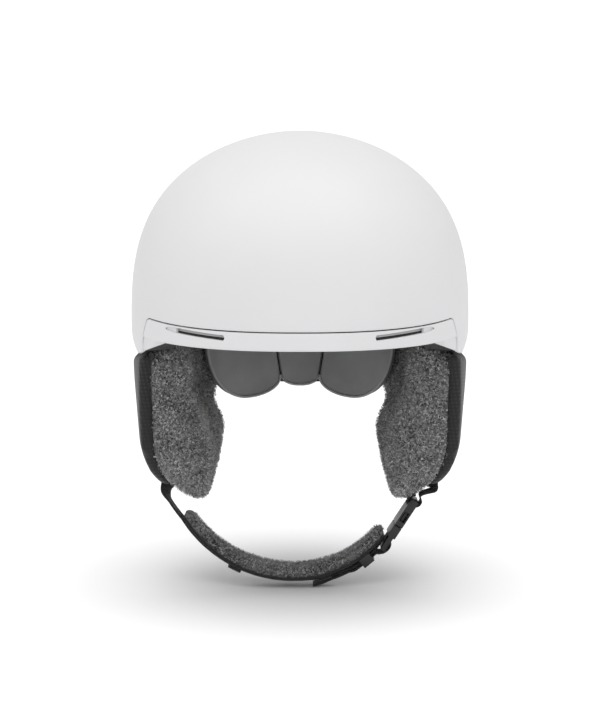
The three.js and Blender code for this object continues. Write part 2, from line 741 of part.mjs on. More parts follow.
function chinWebbing() {
  const arc = (radius, from, to, count) => steps(count).map((t) => chinArcPoint(radius, lerp(from, to, t)));
  const { along, out, middle } = sliderFrame();
  const beyond = (radius, shift) => middle.clone()
    .addScaledVector(out, radius)
    .addScaledVector(along, shift)
    .toArray();
  const route = [
    ...arc(CHIN_WEBBING_RADIUS, -158, SLIDER_ANGLE - 11, 15),
    beyond(CHIN_WEBBING_RADIUS, -9),
    beyond(CHIN_WEBBING_RADIUS, 7),
    bucklePoint(-6.5, -3.8),
    bucklePoint(1.5, -3.2),
    bucklePoint(4, -2.2),
    bucklePoint(5, 0),
    bucklePoint(4, 2.4),
    bucklePoint(0.5, 3.4),
    bucklePoint(-3.4, 2.2),
    bucklePoint(-6.2, -0.6),
    beyond(CHIN_TAIL_RADIUS, 7),
    beyond(CHIN_TAIL_RADIUS, -9),
    ...arc(CHIN_TAIL_RADIUS, SLIDER_ANGLE - 11, -80, 4),
  ];
  return strip(route.map((point) => [point, ACROSS]), STRAP_WIDTH, STRAP_THICKNESS);
}

// Webbing is gathered where it leaves an ear pad.
const strapExitWidth = (t) => lerp(8, STRAP_WIDTH, Math.min(1, 3 * t));

function strapLeft() {
  const { x, y, z } = STRAP_EXIT;
  const start = chinArcPoint(CHIN_WEBBING_RADIUS, -158.6);
  const route = [[-x, y, z], [-x + 1.2, y, z - 6], [-x + 4, y, z - 11], [start[0] - 0.6, y, start[2] + 1.2]];
  return strip(route.map((point) => [point, ACROSS]), strapExitWidth, STRAP_THICKNESS);
}

const SOCKET = { low: 16.6, high: 37 };

function strapRight() {
  const { x, y, z } = STRAP_EXIT;
  const route = [
    [x, y, z],
    bucklePoint(41.5, 1.6),
    bucklePoint(38, 4.3),
    bucklePoint(34.6, 3.9),
    bucklePoint(33, 1.4),
    bucklePoint(33, -1.4),
    bucklePoint(34.6, -3.9),
    bucklePoint(38, -3.2),
    bucklePoint(40, -1.2),
  ];
  const width = (t) => strapExitWidth(2 * t);
  return strip(route.map((point) => [point, ACROSS]), width, STRAP_THICKNESS);
}

// Block in the buckle's frame, between up, out and across limits.
function buckleBlock([low, high], [inner, outer], [rear, front]) {
  const ring = (up) => [
    bucklePoint(up, inner, rear),
    bucklePoint(up, inner, front),
    bucklePoint(up, outer, front),
    bucklePoint(up, outer, rear),
  ];
  return loft([ring(low), ring(high)]);
}

function buckleSocket() {
  const half = BUCKLE_HALF_WIDTH;
  const body = buckleBlock([SOCKET.low, SOCKET.high], [-2.8, 2.8], [-half, half]);
  const mouth = buckleBlock([SOCKET.low - 1, 30], [-1.7, 1.7], [-half + 2, half - 2]);
  const windows = buckleBlock([20.5, 27.5], [-1.7, 1.7], [-half - 1, half + 1]);
  const strapSlot = buckleBlock([31.6, 34.6], [-4, 4], [-8.2, 8.2]);
  return cut(body, mouth, windows, strapSlot);
}

function bucklePlug() {
  const half = BUCKLE_HALF_WIDTH;
  const ladder = buckleBlock([-2.2, 12], [-1.7, 1.7], [-half, half]);
  const shoulder = buckleBlock([8, SOCKET.low - FIT_GAP], [-2.8, 2.8], [-half, half]);
  const tongue = buckleBlock([12, 28.6], [-1.2, 1.2], [-2.4, 2.4]);
  const window = buckleBlock([2, 7.6], [-4, 4], [-8.3, 8.3]);
  return cut(join(ladder, shoulder, tongue), window);
}

function releaseTab(side) {
  const half = BUCKLE_HALF_WIDTH;
  const across = (near, far) => [side * near, side * far].sort((a, b) => a - b);
  const arm = buckleBlock([SOCKET.low, 28], [-1.2, 1.2], across(4.8, half - 2.6));
  return arm;
}

// ---------------------------------------------------------------- goggle strap retainer
function goggleBase() {
  const { y, z } = GOGGLE_PIVOT;
  const foot = domeBlock(180 - 8, 180 + 8, z - 33, z + 5, -FIT_GAP - 2.2, -FIT_GAP, 5);
  const ears = [-1, 1].map((side) => {
    const [near, far] = [side * 9, side * 12].sort((a, b) => a - b);
    return box([near, y - 4.4, z - 3], [far, y + 3, z + 3]);
  });
  const hole = rod('x', [0, y, z], 1.5, -14, 14, 12);
  return cut(join(foot, ...ears), hole);
}

function goggleClip() {
  const { y, z } = GOGGLE_PIVOT;
  const barrel = rod('x', [0, y, z], 2.8, -8.4, 8.4, 12);
  const arm = loft([
    [[-8.4, y - 0.6, z - 1], [8.4, y - 0.6, z - 1], [8.4, y + 1.8, z - 1], [-8.4, y + 1.8, z - 1]],
    [[-8.4, y + 1.6, z - 16], [8.4, y + 1.6, z - 16], [8.4, y + 3.8, z - 16], [-8.4, y + 3.8, z - 16]],
    [[-7, y - 0.2, z - 31], [7, y - 0.2, z - 31], [7, y + 1.8, z - 31], [-7, y + 1.8, z - 31]],
  ]);
  return cut(join(barrel, arm), rod('x', [0, y, z], 1.5, -14, 14, 12));
}

function gogglePin() {
  const { y, z } = GOGGLE_PIVOT;
  return rod('x', [0, y, z], 1.15, -11.8, 11.8, 12);
}

// ---------------------------------------------------------------- assembly
const SIDES = [['left', 1], ['right', -1]];

add('outer_shell', 'shell', outerShell());
add('brim', 'shell', brim());
add('eps_liner', 'foam', liner());
add('crown_pad', 'pad', crownPad());
add('brow_pad', 'pad', linerPad(-44, 44, 6, 34, 10));
add('cradle_frame', 'plastic', cradleFrame());
add('cradle_pad_centre', 'eva', cradleCentrePad());
add('dial_housing', 'plastic', dialHousing());
add('dial_cover', 'plastic', dialCover());
add('dial_pinion', 'plastic', dialPinion());
add('dial_knob', 'plastic', dialKnob());
add('dial_screw', 'steel', dialScrew());
add('chin_pad_fleece', 'fleece', chinCrescent(CHIN_PAD_INNER, CHIN_PAD_OUTER, 12, 0.6));
add('chin_pad_backing', 'cover', chinCrescent(CHIN_PAD_OUTER + FIT_GAP, CHIN_BACKING_OUTER, 12.5, 0));
add('chin_webbing', 'webbing', chinWebbing());
add('chin_keeper_left', 'webbing', keeper(-73));
add('chin_keeper_right', 'webbing', keeper(-122));
add('strap_slider', 'plastic', slider());
add('strap_to_chin_pad', 'webbing', strapLeft());
add('strap_to_buckle', 'webbing', strapRight());
add('buckle_socket', 'plastic', buckleSocket());
add('buckle_plug', 'plastic', bucklePlug());
add('release_tab_front', 'plastic', releaseTab(-1));
add('release_tab_rear', 'plastic', releaseTab(1));
add('goggle_clip_base', 'plastic', goggleBase());
add('goggle_clip', 'plastic', goggleClip());
add('goggle_clip_pin', 'steel', gogglePin());

for (const [name, side] of SIDES) {
  add(`brim_vent_${name}`, 'vent', brimVent(side));
  add(`side_pad_${name}`, 'pad', linerPad(side * 68, side * 112, 24, 62, 6));
  add(`ear_cover_${name}`, 'cover', earCover(side));
  add(`ear_fleece_${name}`, 'fleece', earFleece(side));
  add(`headband_${name}`, 'plastic', headband(side));
  add(`temple_pin_${name}`, 'plastic', templePin(side));
  add(`cradle_pad_${name}`, 'eva', cradleSidePad(side));
  add(`rack_${name}`, 'plastic', rack(side));
  add(`strap_front_${name}`, 'webbing', strapLeg(side, ANCHOR_BEARINGS[0], 88));
  add(`strap_rear_${name}`, 'webbing', strapLeg(side, ANCHOR_BEARINGS[1], 96));
  add(`strap_anchor_front_${name}`, 'plastic', anchorBlock(side * ANCHOR_BEARINGS[0], 0));
  add(`strap_anchor_rear_${name}`, 'plastic', anchorBlock(side * ANCHOR_BEARINGS[1], 0));
}

export default helmet;
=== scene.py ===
"""The ski helmet's visible pieces, materials, light and camera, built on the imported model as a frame.

Shapes are worked out in millimetres and made in metres. +X is the wearer's left, -Y the front, +Z up.
"""
import json
import math

import bmesh
import bpy
import numpy as np
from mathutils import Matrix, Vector
from mathutils import noise as hills

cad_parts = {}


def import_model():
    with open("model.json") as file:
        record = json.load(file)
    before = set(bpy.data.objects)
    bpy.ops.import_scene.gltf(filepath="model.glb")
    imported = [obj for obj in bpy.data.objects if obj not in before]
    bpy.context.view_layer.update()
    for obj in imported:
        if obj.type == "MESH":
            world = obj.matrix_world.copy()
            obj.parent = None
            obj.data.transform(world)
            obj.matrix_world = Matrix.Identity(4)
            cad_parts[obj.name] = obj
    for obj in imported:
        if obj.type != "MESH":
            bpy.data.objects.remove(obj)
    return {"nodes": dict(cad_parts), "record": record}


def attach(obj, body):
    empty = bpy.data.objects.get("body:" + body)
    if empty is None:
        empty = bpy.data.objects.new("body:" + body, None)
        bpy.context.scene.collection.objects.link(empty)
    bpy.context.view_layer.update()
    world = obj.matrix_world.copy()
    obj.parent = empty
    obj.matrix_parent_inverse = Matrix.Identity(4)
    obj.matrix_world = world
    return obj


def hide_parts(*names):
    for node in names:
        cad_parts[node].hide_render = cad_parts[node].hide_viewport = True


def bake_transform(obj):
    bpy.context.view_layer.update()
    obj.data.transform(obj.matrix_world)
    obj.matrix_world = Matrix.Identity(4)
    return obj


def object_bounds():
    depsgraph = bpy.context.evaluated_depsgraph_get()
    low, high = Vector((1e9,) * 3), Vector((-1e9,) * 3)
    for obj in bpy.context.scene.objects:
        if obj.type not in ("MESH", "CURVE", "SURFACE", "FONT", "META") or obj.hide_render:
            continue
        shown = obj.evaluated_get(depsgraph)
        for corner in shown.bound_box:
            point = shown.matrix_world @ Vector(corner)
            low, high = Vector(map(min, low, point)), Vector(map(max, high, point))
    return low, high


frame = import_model()
cad_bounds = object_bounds()

MM = 0.001
SIDES = (("left", 1), ("right", -1))

# ---------------------------------------------------------------- the helmet's own surface, in mm
SHELL_HALF_WIDTH = 109.4
SHELL_FRONT = 132.0
SHELL_BACK = 138.0
SHELL_TOP = 129.0
WIDEST_HEIGHT = 4.0
SHELL_THICKNESS = 2.8
PROFILE_RISE = 2.9
PROFILE_SPREAD = 1.9
PLAN_POWER = 2.35
LOWER_TUCK = 0.035
TUCK_DEPTH = 17.0
SKIRT_TAPER = 0.012

SEAM_CENTRE = 11.6
SEAM_CORNER = 15.0
SEAM_GAP = 0.6
BRIM_RISE = 2.2
BRIM_CORNER = 58.5
BRIM_FOOT = 65.8
BRIM_FOOT_HEIGHT = -8.0
BRIM_THICKNESS = 2.2
BRIM_CORNER_RADIUS = 3.2
SLOT_BEARINGS = (21.0, 40.5)
SLOT_HEIGHTS = (5.8, 9.1)
SLOT_CLIMB = 2.7
SCOOP_END = 46.0
SCOOP_DEPTH = 0.9
LINER_INSETS = (5.6, 24.0)

SHELL_SIDE_EDGE = (
    (58.5, 15), (65.8, -8), (74, -11.5), (90, -13), (122, -14), (138, -20), (148, -23),
    (160, -20), (166, -13), (172.5, -10), (180, -10),
)
LINER_EDGE = (
    (0, 0.8), (30, 1.6), (58.5, 3), (65.8, -7), (74, -10.5), (90, -12), (122, -13), (138, -19), (148, -22),
    (160, -19), (166, -12), (172.5, -9), (180, -9),
)


def lerp(a, b, t):
    return a + (b - a) * t


def power(value, exponent):
    return np.sign(value) * np.abs(value) ** exponent


def knots(pairs, softness=0.0):
    """Piecewise straight curve through (position, value) pairs, averaged over softness to each side."""
    at = [p for p, _ in pairs]
    values = [v for _, v in pairs]

    def curve(position):
        shifts = np.linspace(-softness, softness, 7) if softness else [0.0]
        return sum(np.interp(np.asarray(position, float) + s, at, values) for s in shifts) / len(shifts)

    return curve


def fold(bearing):
    """Bearing from 0 to 180, for a curve that is the same on both sides."""
    turned = np.mod(np.asarray(bearing, float), 360)
    return np.minimum(turned, 360 - turned)


def edge_curve(pairs, softness):
    mirrored = [(-p, v) for p, v in reversed(pairs[1:])] + list(pairs)
    mirrored.append((360 - pairs[-2][0], pairs[-2][1]))
    curve = knots(mirrored, softness)
    return lambda bearing: curve(fold(bearing))


def brim_climb(bearing):
    return np.minimum(np.abs(bearing) / BRIM_CORNER, 1) ** 2


def seam_height(bearing):
    return lerp(SEAM_CENTRE, SEAM_CORNER, brim_climb(bearing))


SEAM_POINTS = tuple((b, float(seam_height(b))) for b in range(0, 57, 4))
shell_edge = edge_curve(SEAM_POINTS + SHELL_SIDE_EDGE, 1.3)
liner_edge = edge_curve(LINER_EDGE, 2.0)


def plan_point(bearing, half_width, front, back, z):
    """Point at a bearing: 0 is the front, 90 the wearer's left and 180 the back."""
    angle = np.radians(bearing)
    across = power(np.sin(angle), 2 / PLAN_POWER)
    along = power(-np.cos(angle), 2 / PLAN_POWER)
    reach = np.where(along < 0, front, back)
    return np.stack(np.broadcast_arrays(half_width * across, reach * along, z), axis=-1)


def dome_scale(z, height):
    drop = (WIDEST_HEIGHT - z) / TUCK_DEPTH
    below = 1 - LOWER_TUCK * np.clip(drop, 0, 1) ** 2 - SKIRT_TAPER * np.maximum(drop - 1, 0)
    rise = np.clip((z - WIDEST_HEIGHT) / height, 0, 1)
    above = (1 - rise**PROFILE_RISE) ** (1 / PROFILE_SPREAD)
    return np.where(z < WIDEST_HEIGHT, below, above)


def dome_point(bearing, z, inset):
    height = SHELL_TOP - WIDEST_HEIGHT - inset
    scale = dome_scale(np.asarray(z, float), height)
    radii = [(r - inset) * scale for r in (SHELL_HALF_WIDTH, SHELL_FRONT, SHELL_BACK)]
    return plan_point(bearing, *radii, z)


def dome_heights(edge, inset, rows):
    """Heights from the crown down to an edge, evenly spread along the curve."""
    height = SHELL_TOP - WIDEST_HEIGHT - inset
    low = max(edge - WIDEST_HEIGHT, 0.0)
    low_angle = math.asin((low / height) ** (PROFILE_RISE / 2))
    upper = (math.pi / 2 - low_angle) * height
    total = upper + max(WIDEST_HEIGHT - edge, 0.0)
    way = np.linspace(0, total, rows + 1)
    angle = math.pi / 2 - np.minimum(way, upper) / height
    above = height * np.maximum(np.sin(angle), 0) ** (2 / PROFILE_RISE)
    return WIDEST_HEIGHT + above - np.maximum(way - upper, 0)


# ---------------------------------------------------------------- making meshes
def make_object(name, points, faces, material, smooth=True):
    mesh = bpy.data.meshes.new(name)
    mesh.from_pydata((np.asarray(points, float) * MM).tolist(), [], faces)
    mesh.update()
    mesh.materials.append(material)
    obj = bpy.data.objects.new(name, mesh)
    bpy.context.scene.collection.objects.link(obj)
    mesh.polygons.foreach_set("use_smooth", [smooth] * len(mesh.polygons))
    return obj


def bake(obj):
    """The object's modifiers become part of its mesh."""
    graph = bpy.context.evaluated_depsgraph_get()
    mesh = bpy.data.meshes.new_from_object(obj.evaluated_get(graph))
    obj.modifiers.clear()
    obj.data = mesh
    return obj


def place(obj, body, *nodes, slot=None):
    """The piece rides on a body, and stands for CAD nodes if any are named."""
    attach(obj, body)
    if nodes:
        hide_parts(*nodes)
    return obj


def ring_faces(rings, size, closed_rings=False, closed_path=False, caps=True):
    """Faces between rings of points."""
    faces = []
    spans = rings if closed_path else rings - 1
    steps_round = size if closed_rings else size - 1
    for ring in range(spans):
        a, b = ring * size, (ring + 1) % rings * size
        for i in range(steps_round):
            j = (i + 1) % size
            faces.append((a + i, a + j, b + j, b + i))
    if caps and closed_rings and not closed_path:
        faces.append(tuple(range(size))[::-1])
        faces.append(tuple((rings - 1) * size + i for i in range(size)))
    return faces


def face_outwards(obj):
    """Merged corners, with every face pointing out."""
    work = bmesh.new()
    work.from_mesh(obj.data)
    bmesh.ops.remove_doubles(work, verts=work.verts, dist=2e-6)
    bmesh.ops.dissolve_degenerate(work, edges=work.edges, dist=1e-7)
    bmesh.ops.recalc_face_normals(work, faces=work.faces)
    work.to_mesh(obj.data)
    work.free()
    return obj


def slab(surface, size, thickness, radius, columns, rows, arc=4):
    """Points and faces of a curved slab with rounded edges.

    surface(u, v, depth) is vectorised: u and v run from 0 to 1 and depth from 0 to thickness, in mm.
    """
    length, width = size
    radius = min(radius, thickness / 2 - 0.02)
    quarter = np.linspace(0, math.pi / 2, arc + 1)
    start = [(radius * (1 - math.sin(a)), radius * (1 - math.cos(a))) for a in quarter[::-1]]
    middle = [(u, 0.0) for u in np.linspace(radius, length - radius, columns + 1)[1:-1]]
    end = [(length - u, inset) for u, inset in reversed(start)]

    def section(inset):
        corner = max(radius - inset, 0.0)
        low, high = inset + corner, width - inset - corner
        near, far = inset + corner, thickness - inset - corner
        flat = np.linspace(low, high, rows + 1)
        outline = [(v, near - corner) for v in flat]
        outline += [(high + corner * math.sin(a), near - corner * math.cos(a)) for a in quarter[1:]]
        outline += [(high + corner * math.cos(a), far + corner * math.sin(a)) for a in quarter]
        outline += [(v, far + corner) for v in flat[::-1][1:]]
        outline += [(low - corner * math.sin(a), far + corner * math.cos(a)) for a in quarter[1:]]
        outline += [(low - corner * math.cos(a), near - corner * math.sin(a)) for a in quarter[:-1]]
        return outline

    stations = start + middle + end
    outlines = [section(inset) for _, inset in stations]
    size_round = len(outlines[0])
    u = np.repeat([u / length for u, _ in stations], size_round)
    v = np.array([v / width for outline in outlines for v, _ in outline])
    depth = np.array([d for outline in outlines for _, d in outline])
    points = surface(u, v, depth)
    return points, ring_faces(len(stations), size_round, closed_rings=True)


def dome_piece(name, insets, edge, radius, bearings, rows, material, arc=4):
    """Closed dome between two insets, with a rounded lower edge."""
    outer, inner = insets
    radius = min(radius, (inner - outer) / 2 - 0.01)
    quarter = np.linspace(0, math.pi / 2, arc + 1)
    columns = []
    for bearing in bearings:
        low = float(edge(bearing))
        profile = [(z, outer) for z in dome_heights(low + radius, outer, rows)]
        profile += [(low + radius - radius * math.sin(a), outer + radius - radius * math.cos(a))
                    for a in quarter[1:]]
        profile += [(low + radius - radius * math.cos(a), inner - radius + radius * math.sin(a))
                    for a in quarter]
        profile += [(z, inner) for z in dome_heights(low + radius, inner, rows)[::-1][1:]]
        columns.append(profile)
    size = len(columns[0])
    z = np.array([z for column in columns for z, _ in column])
    inset = np.array([i for column in columns for _, i in column])
    points = dome_point(np.repeat(bearings, size), z, inset)
    faces = ring_faces(len(columns), size, closed_path=True)
    return face_outwards(make_object(name, points, faces, material))


def cut_away(obj, *cutters):
    """Takes the cutters' shapes out of the object, and the cutters out of the scene."""
    for cutter in cutters:
        modifier = obj.modifiers.new("cut", "BOOLEAN")
        modifier.operation = "DIFFERENCE"
        modifier.solver = "EXACT"
        modifier.object = cutter
        bake(obj)
        bpy.data.objects.remove(cutter, do_unlink=True)
    return obj


def smooth_by_angle(obj, degrees):
    obj.data.polygons.foreach_set("use_smooth", [True] * len(obj.data.polygons))
    obj.data.set_sharp_from_angle(angle=math.radians(degrees))
    return obj


# ---------------------------------------------------------------- materials
def material_nodes(name):
    material = bpy.data.materials.new(name)
    material.use_nodes = True
    tree = material.node_tree
    return material, tree, tree.nodes["Principled BSDF"]


def add_node(tree, kind, **inputs):
    node = tree.nodes.new(kind)
    for key, value in inputs.items():
        node.inputs[key.replace("_", " ")].default_value = value
    return node


def ramp(tree, source, low, high, from_at=0.0, to_at=1.0):
    """Colours a 0 to 1 value."""
    node = tree.nodes.new("ShaderNodeValToRGB")
    node.color_ramp.elements[0].position = from_at
    node.color_ramp.elements[0].color = (*low, 1)
    node.color_ramp.elements[1].position = to_at
    node.color_ramp.elements[1].color = (*high, 1)
    tree.links.new(source, node.inputs["Fac"])
    return node.outputs["Color"]


def bump(tree, shader, source, distance, strength=1.0, before=None):
    node = add_node(tree, "ShaderNodeBump", Strength=strength, Distance=distance)
    tree.links.new(source, node.inputs["Height"])
    if before is not None:
        tree.links.new(before, node.inputs["Normal"])
    tree.links.new(node.outputs["Normal"], shader.inputs["Normal"])
    return node.outputs["Normal"]


def object_space(tree, scale=(1, 1, 1), rotation=(0, 0, 0)):
    coordinates = tree.nodes.new("ShaderNodeTexCoord")
    mapping = tree.nodes.new("ShaderNodeMapping")
    mapping.inputs["Scale"].default_value = scale
    mapping.inputs["Rotation"].default_value = rotation
    tree.links.new(coordinates.outputs["Object"], mapping.inputs["Vector"])
    return mapping.outputs["Vector"]


def noise(tree, vector, scale, detail=4.0, roughness=0.55):
    node = add_node(tree, "ShaderNodeTexNoise", Scale=scale, Detail=detail, Roughness=roughness)
    tree.links.new(vector, node.inputs["Vector"])
    return node.outputs["Fac"]


def grey(value):
    return (value, value, value * 1.01)


def moulded(name, colour, roughness, grain=900.0, grain_depth=0.00003, spread=0.08):
    """Moulded plastic: fine grain, and roughness that varies a little."""
    material, tree, shader = material_nodes(name)
    space = object_space(tree)
    fine = noise(tree, space, grain, 3)
    wide = noise(tree, space, 25, 3)
    low = tuple(max(c * (1 - spread), 0) for c in colour)
    high = tuple(min(c * (1 + spread), 1) for c in colour)
    tree.links.new(ramp(tree, wide, low, high, 0.3, 0.7), shader.inputs["Base Color"])
    rough = ramp(tree, wide, grey(roughness - 0.06), grey(roughness + 0.06), 0.3, 0.7)
    tree.links.new(rough, shader.inputs["Roughness"])
    bump(tree, shader, fine, grain_depth)
    return material


def shell_paint():
    """Matte white paint with a barely visible orange peel."""
    material, tree, shader = material_nodes("shell_white")
    space = object_space(tree)
    wide = noise(tree, space, 14, 2)
    tree.links.new(ramp(tree, wide, grey(0.615), grey(0.63), 0.3, 0.7), shader.inputs["Base Color"])
    rough = ramp(tree, noise(tree, space, 60, 3), grey(0.47), grey(0.55), 0.3, 0.7)
    tree.links.new(rough, shader.inputs["Roughness"])
    shader.inputs["Specular IOR Level"].default_value = 0.35
    bump(tree, shader, noise(tree, space, 420, 2), 0.000015)
    return material


def bead_foam():
    """Expanded bead foam: flattened cells with fine dark borders."""
    material, tree, shader = material_nodes("bead_foam")
    space = object_space(tree)
    cells = add_node(tree, "ShaderNodeTexVoronoi", Scale=330.0)
    cells.feature = "DISTANCE_TO_EDGE"
    tree.links.new(space, cells.inputs["Vector"])
    tint = add_node(tree, "ShaderNodeTexVoronoi", Scale=330.0)
    tree.links.new(space, tint.inputs["Vector"])
    mix = tree.nodes.new("ShaderNodeMix")
    mix.data_type = "RGBA"
    borders = ramp(tree, cells.outputs["Distance"], (0, 0, 0), (1, 1, 1), 0.0, 0.09)
    tree.links.new(borders, mix.inputs["Factor"])
    mix.inputs["A"].default_value = (*grey(0.012), 1)
    tree.links.new(ramp(tree, tint.outputs["Color"], grey(0.03), grey(0.055)), mix.inputs["B"])
    tree.links.new(mix.outputs["Result"], shader.inputs["Base Color"])
    shader.inputs["Roughness"].default_value = 0.75
    bump(tree, shader, ramp(tree, cells.outputs["Distance"], (0, 0, 0), (1, 1, 1), 0.0, 0.14), 0.0002)
    return material


def woven(name, dark, light, threads=1500.0, depth=0.00012, sheen=0.2, roughness=0.85):
    """Plain weave from two crossed sets of threads, which doesn't need UVs."""
    material, tree, shader = material_nodes(name)
    waves = []
    for turn in (0.0, math.pi / 2):
        space = object_space(tree, rotation=(0.35, turn, 0.25))
        wave = add_node(tree, "ShaderNodeTexWave", Scale=threads / 20, Distortion=0.8, Detail=1.0)
        tree.links.new(space, wave.inputs["Vector"])
        waves.append(wave.outputs["Fac"])
    both = tree.nodes.new("ShaderNodeMath")
    both.operation = "MULTIPLY"
    for socket, wave in zip(both.inputs, waves):
        tree.links.new(wave, socket)
    weave = both.outputs["Value"]
    space = object_space(tree)
    blotch = noise(tree, space, 45, 5, 0.7)
    mix = tree.nodes.new("ShaderNodeMath")
    mix.operation = "MULTIPLY"
    tree.links.new(weave, mix.inputs[0])
    tree.links.new(blotch, mix.inputs[1])
    tree.links.new(ramp(tree, mix.outputs["Value"], dark, light, 0.05, 0.45), shader.inputs["Base Color"])
    shader.inputs["Roughness"].default_value = roughness
    shader.inputs["Sheen Weight"].default_value = sheen
    shader.inputs["Sheen Roughness"].default_value = 0.4
    bump(tree, shader, weave, depth)
    return material


def moulded_foam(name, colour):
    """Soft moulded foam with a knit face: fine pores, a soft sheen and slow tone changes."""
    material, tree, shader = material_nodes(name)
    space = object_space(tree)
    wide = noise(tree, space, 30, 4)
    low = tuple(c * 0.86 for c in colour)
    high = tuple(c * 1.12 for c in colour)
    tree.links.new(ramp(tree, wide, low, high, 0.3, 0.7), shader.inputs["Base Color"])
    shader.inputs["Roughness"].default_value = 0.8
    shader.inputs["Sheen Weight"].default_value = 0.12
    shader.inputs["Specular IOR Level"].default_value = 0.3
    first = bump(tree, shader, noise(tree, space, 1900, 2), 0.00006)
    bump(tree, shader, noise(tree, space, 220, 3), 0.0001, before=first)
    return material


def steel():
    material, tree, shader = material_nodes("plain_steel")
    space = object_space(tree, scale=(40, 900, 900))
    shader.inputs["Metallic"].default_value = 1.0
    streak = noise(tree, space, 3, 3)
    tree.links.new(ramp(tree, streak, grey(0.42), grey(0.62)), shader.inputs["Base Color"])
    tree.links.new(ramp(tree, streak, grey(0.22), grey(0.4)), shader.inputs["Roughness"])
    return material


def floor_paint():
    material, tree, shader = material_nodes("studio_floor")
    space = object_space(tree)
    tones = ramp(tree, noise(tree, space, 2, 2), grey(0.93), grey(0.935))
    tree.links.new(tones, shader.inputs["Base Color"])
    shader.inputs["Roughness"].default_value = 1.0
    shader.inputs["Specular IOR Level"].default_value = 0.0
    return material


def fleece_cloth(name, dark, light, scale):
    """Heather fleece: light and dark yarn mixed at the scale of its curls."""
    material, tree, shader = material_nodes(name)
    space = object_space(tree)
    curls = noise(tree, space, scale, 5, 0.7)
    patches = noise(tree, space, scale / 7, 2)
    both = tree.nodes.new("ShaderNodeMath")
    both.operation = "MULTIPLY_ADD"
    tree.links.new(curls, both.inputs[0])
    both.inputs[1].default_value = 0.8
    soften = tree.nodes.new("ShaderNodeMath")
    soften.operation = "MULTIPLY"
    soften.inputs[1].default_value = 0.2
    tree.links.new(patches, soften.inputs[0])
    tree.links.new(soften.outputs["Value"], both.inputs[2])
    tree.links.new(ramp(tree, both.outputs["Value"], dark, light, 0.41, 0.6), shader.inputs["Base Color"])
    shader.inputs["Roughness"].default_value = 1.0
    shader.inputs["Sheen Weight"].default_value = 0.35
    shader.inputs["Sheen Roughness"].default_value = 0.5
    shader.inputs["Specular IOR Level"].default_value = 0.15
    bump(tree, shader, noise(tree, space, scale * 1.6, 3), 0.0004)
    return material


def woven_tape(name, tone, ribs=1.1):
    """Flat webbing: ribs across the tape and slanted yarns, from its own UV map in mm."""
    material, tree, shader = material_nodes(name)
    coordinate = tree.nodes.new("ShaderNodeTexCoord")
    heights = []
    for turn, scale in ((0.0, 0.45), (math.radians(58), 0.8)):
        mapping = tree.nodes.new("ShaderNodeMapping")
        mapping.inputs["Rotation"].default_value = (0, 0, turn)
        tree.links.new(coordinate.outputs["UV"], mapping.inputs["Vector"])
        wave = add_node(tree, "ShaderNodeTexWave", Scale=scale / ribs, Distortion=0.3)
        tree.links.new(mapping.outputs["Vector"], wave.inputs["Vector"])
        heights.append(wave.outputs["Fac"])
    both = tree.nodes.new("ShaderNodeMath")
    both.operation = "MULTIPLY"
    tree.links.new(heights[0], both.inputs[0])
    tree.links.new(heights[1], both.inputs[1])
    tones = ramp(tree, both.outputs["Value"], grey(tone * 0.5), grey(tone * 1.6))
    tree.links.new(tones, shader.inputs["Base Color"])
    shader.inputs["Roughness"].default_value = 0.8
    shader.inputs["Sheen Weight"].default_value = 0.15
    bump(tree, shader, both.outputs["Value"], 0.00025)
    return material


SHELL_WHITE = shell_paint()
FLEECE = fleece_cloth("heather_fleece", (0.02, 0.02, 0.021), (0.2, 0.198, 0.198), 620)
FLEECE_YARN = fleece_cloth("heather_yarn", (0.03, 0.03, 0.03), (0.62, 0.61, 0.605), 480)
WEBBING = woven_tape("black_webbing", 0.005)
THREAD = woven("black_thread", (0.01, 0.01, 0.01), (0.05, 0.05, 0.05), 3000)
ELASTIC = woven("black_elastic", (0.004, 0.004, 0.0045), (0.014, 0.014, 0.014), 2400)
EVA_BEAD = moulded_foam("eva_bead", (0.38, 0.38, 0.382))
VENT_GREY = moulded("vent_grey", (0.46, 0.46, 0.465), 0.55)
BEAD_FOAM = bead_foam()
PAD_KNIT = woven("pad_knit", (0.012, 0.012, 0.013), (0.05, 0.05, 0.052), 1900, 0.0002, 0.5, 0.95)
COVER_CLOTH = woven("cover_cloth", (0.007, 0.007, 0.0075), (0.019, 0.019, 0.02), 2600)
EVA_GREY = moulded_foam("eva_grey", (0.29, 0.29, 0.292))
BLACK_PLASTIC = moulded("black_plastic", (0.007, 0.007, 0.0075), 0.42, spread=0.2)
PLAIN_STEEL = steel()
FLOOR_PAINT = floor_paint()


# ---------------------------------------------------------------- shell, brim and liner
def dome_bearings():
    """Bearings all round, closer together at the brim's corners."""
    near = np.arange(BRIM_CORNER - 4, BRIM_FOOT + 4.01, 0.5)
    half = np.concatenate([np.arange(0, near[0], 2.0), near, np.arange(near[-1] + 2, 181, 2.0)])
    half[-1] = 180
    return np.concatenate([half, 360 - half[1:-1][::-1]])


def dome_block(bearings, heights, insets, name, ends):
    """Cutter across the dome with round ends; ends is how far each reaches in, in degrees."""
    near, far = bearings
    low, high = heights
    span = far - near

    def surface(u, v, depth):
        from_end = np.minimum(u * abs(span) / ends[0], (1 - u) * abs(span) / ends[1])
        tall = np.sqrt(np.clip(1 - (1 - np.minimum(from_end, 1)) ** 2, 0.0025, 1))
        z = (low + high) / 2 + (high - low) / 2 * (1 - 2 * v) * tall
        return dome_point(near + span * u, z, insets[0] + depth)

    size = (abs(span) * 2, high - low)
    points, faces = slab(surface, size, insets[1] - insets[0], 0.01, 40, 3, 1)
    return face_outwards(make_object(name, points, faces, SHELL_WHITE))


REAR_VENTS = ((13, 27, 74, 81), (11, 24, 57, 63))


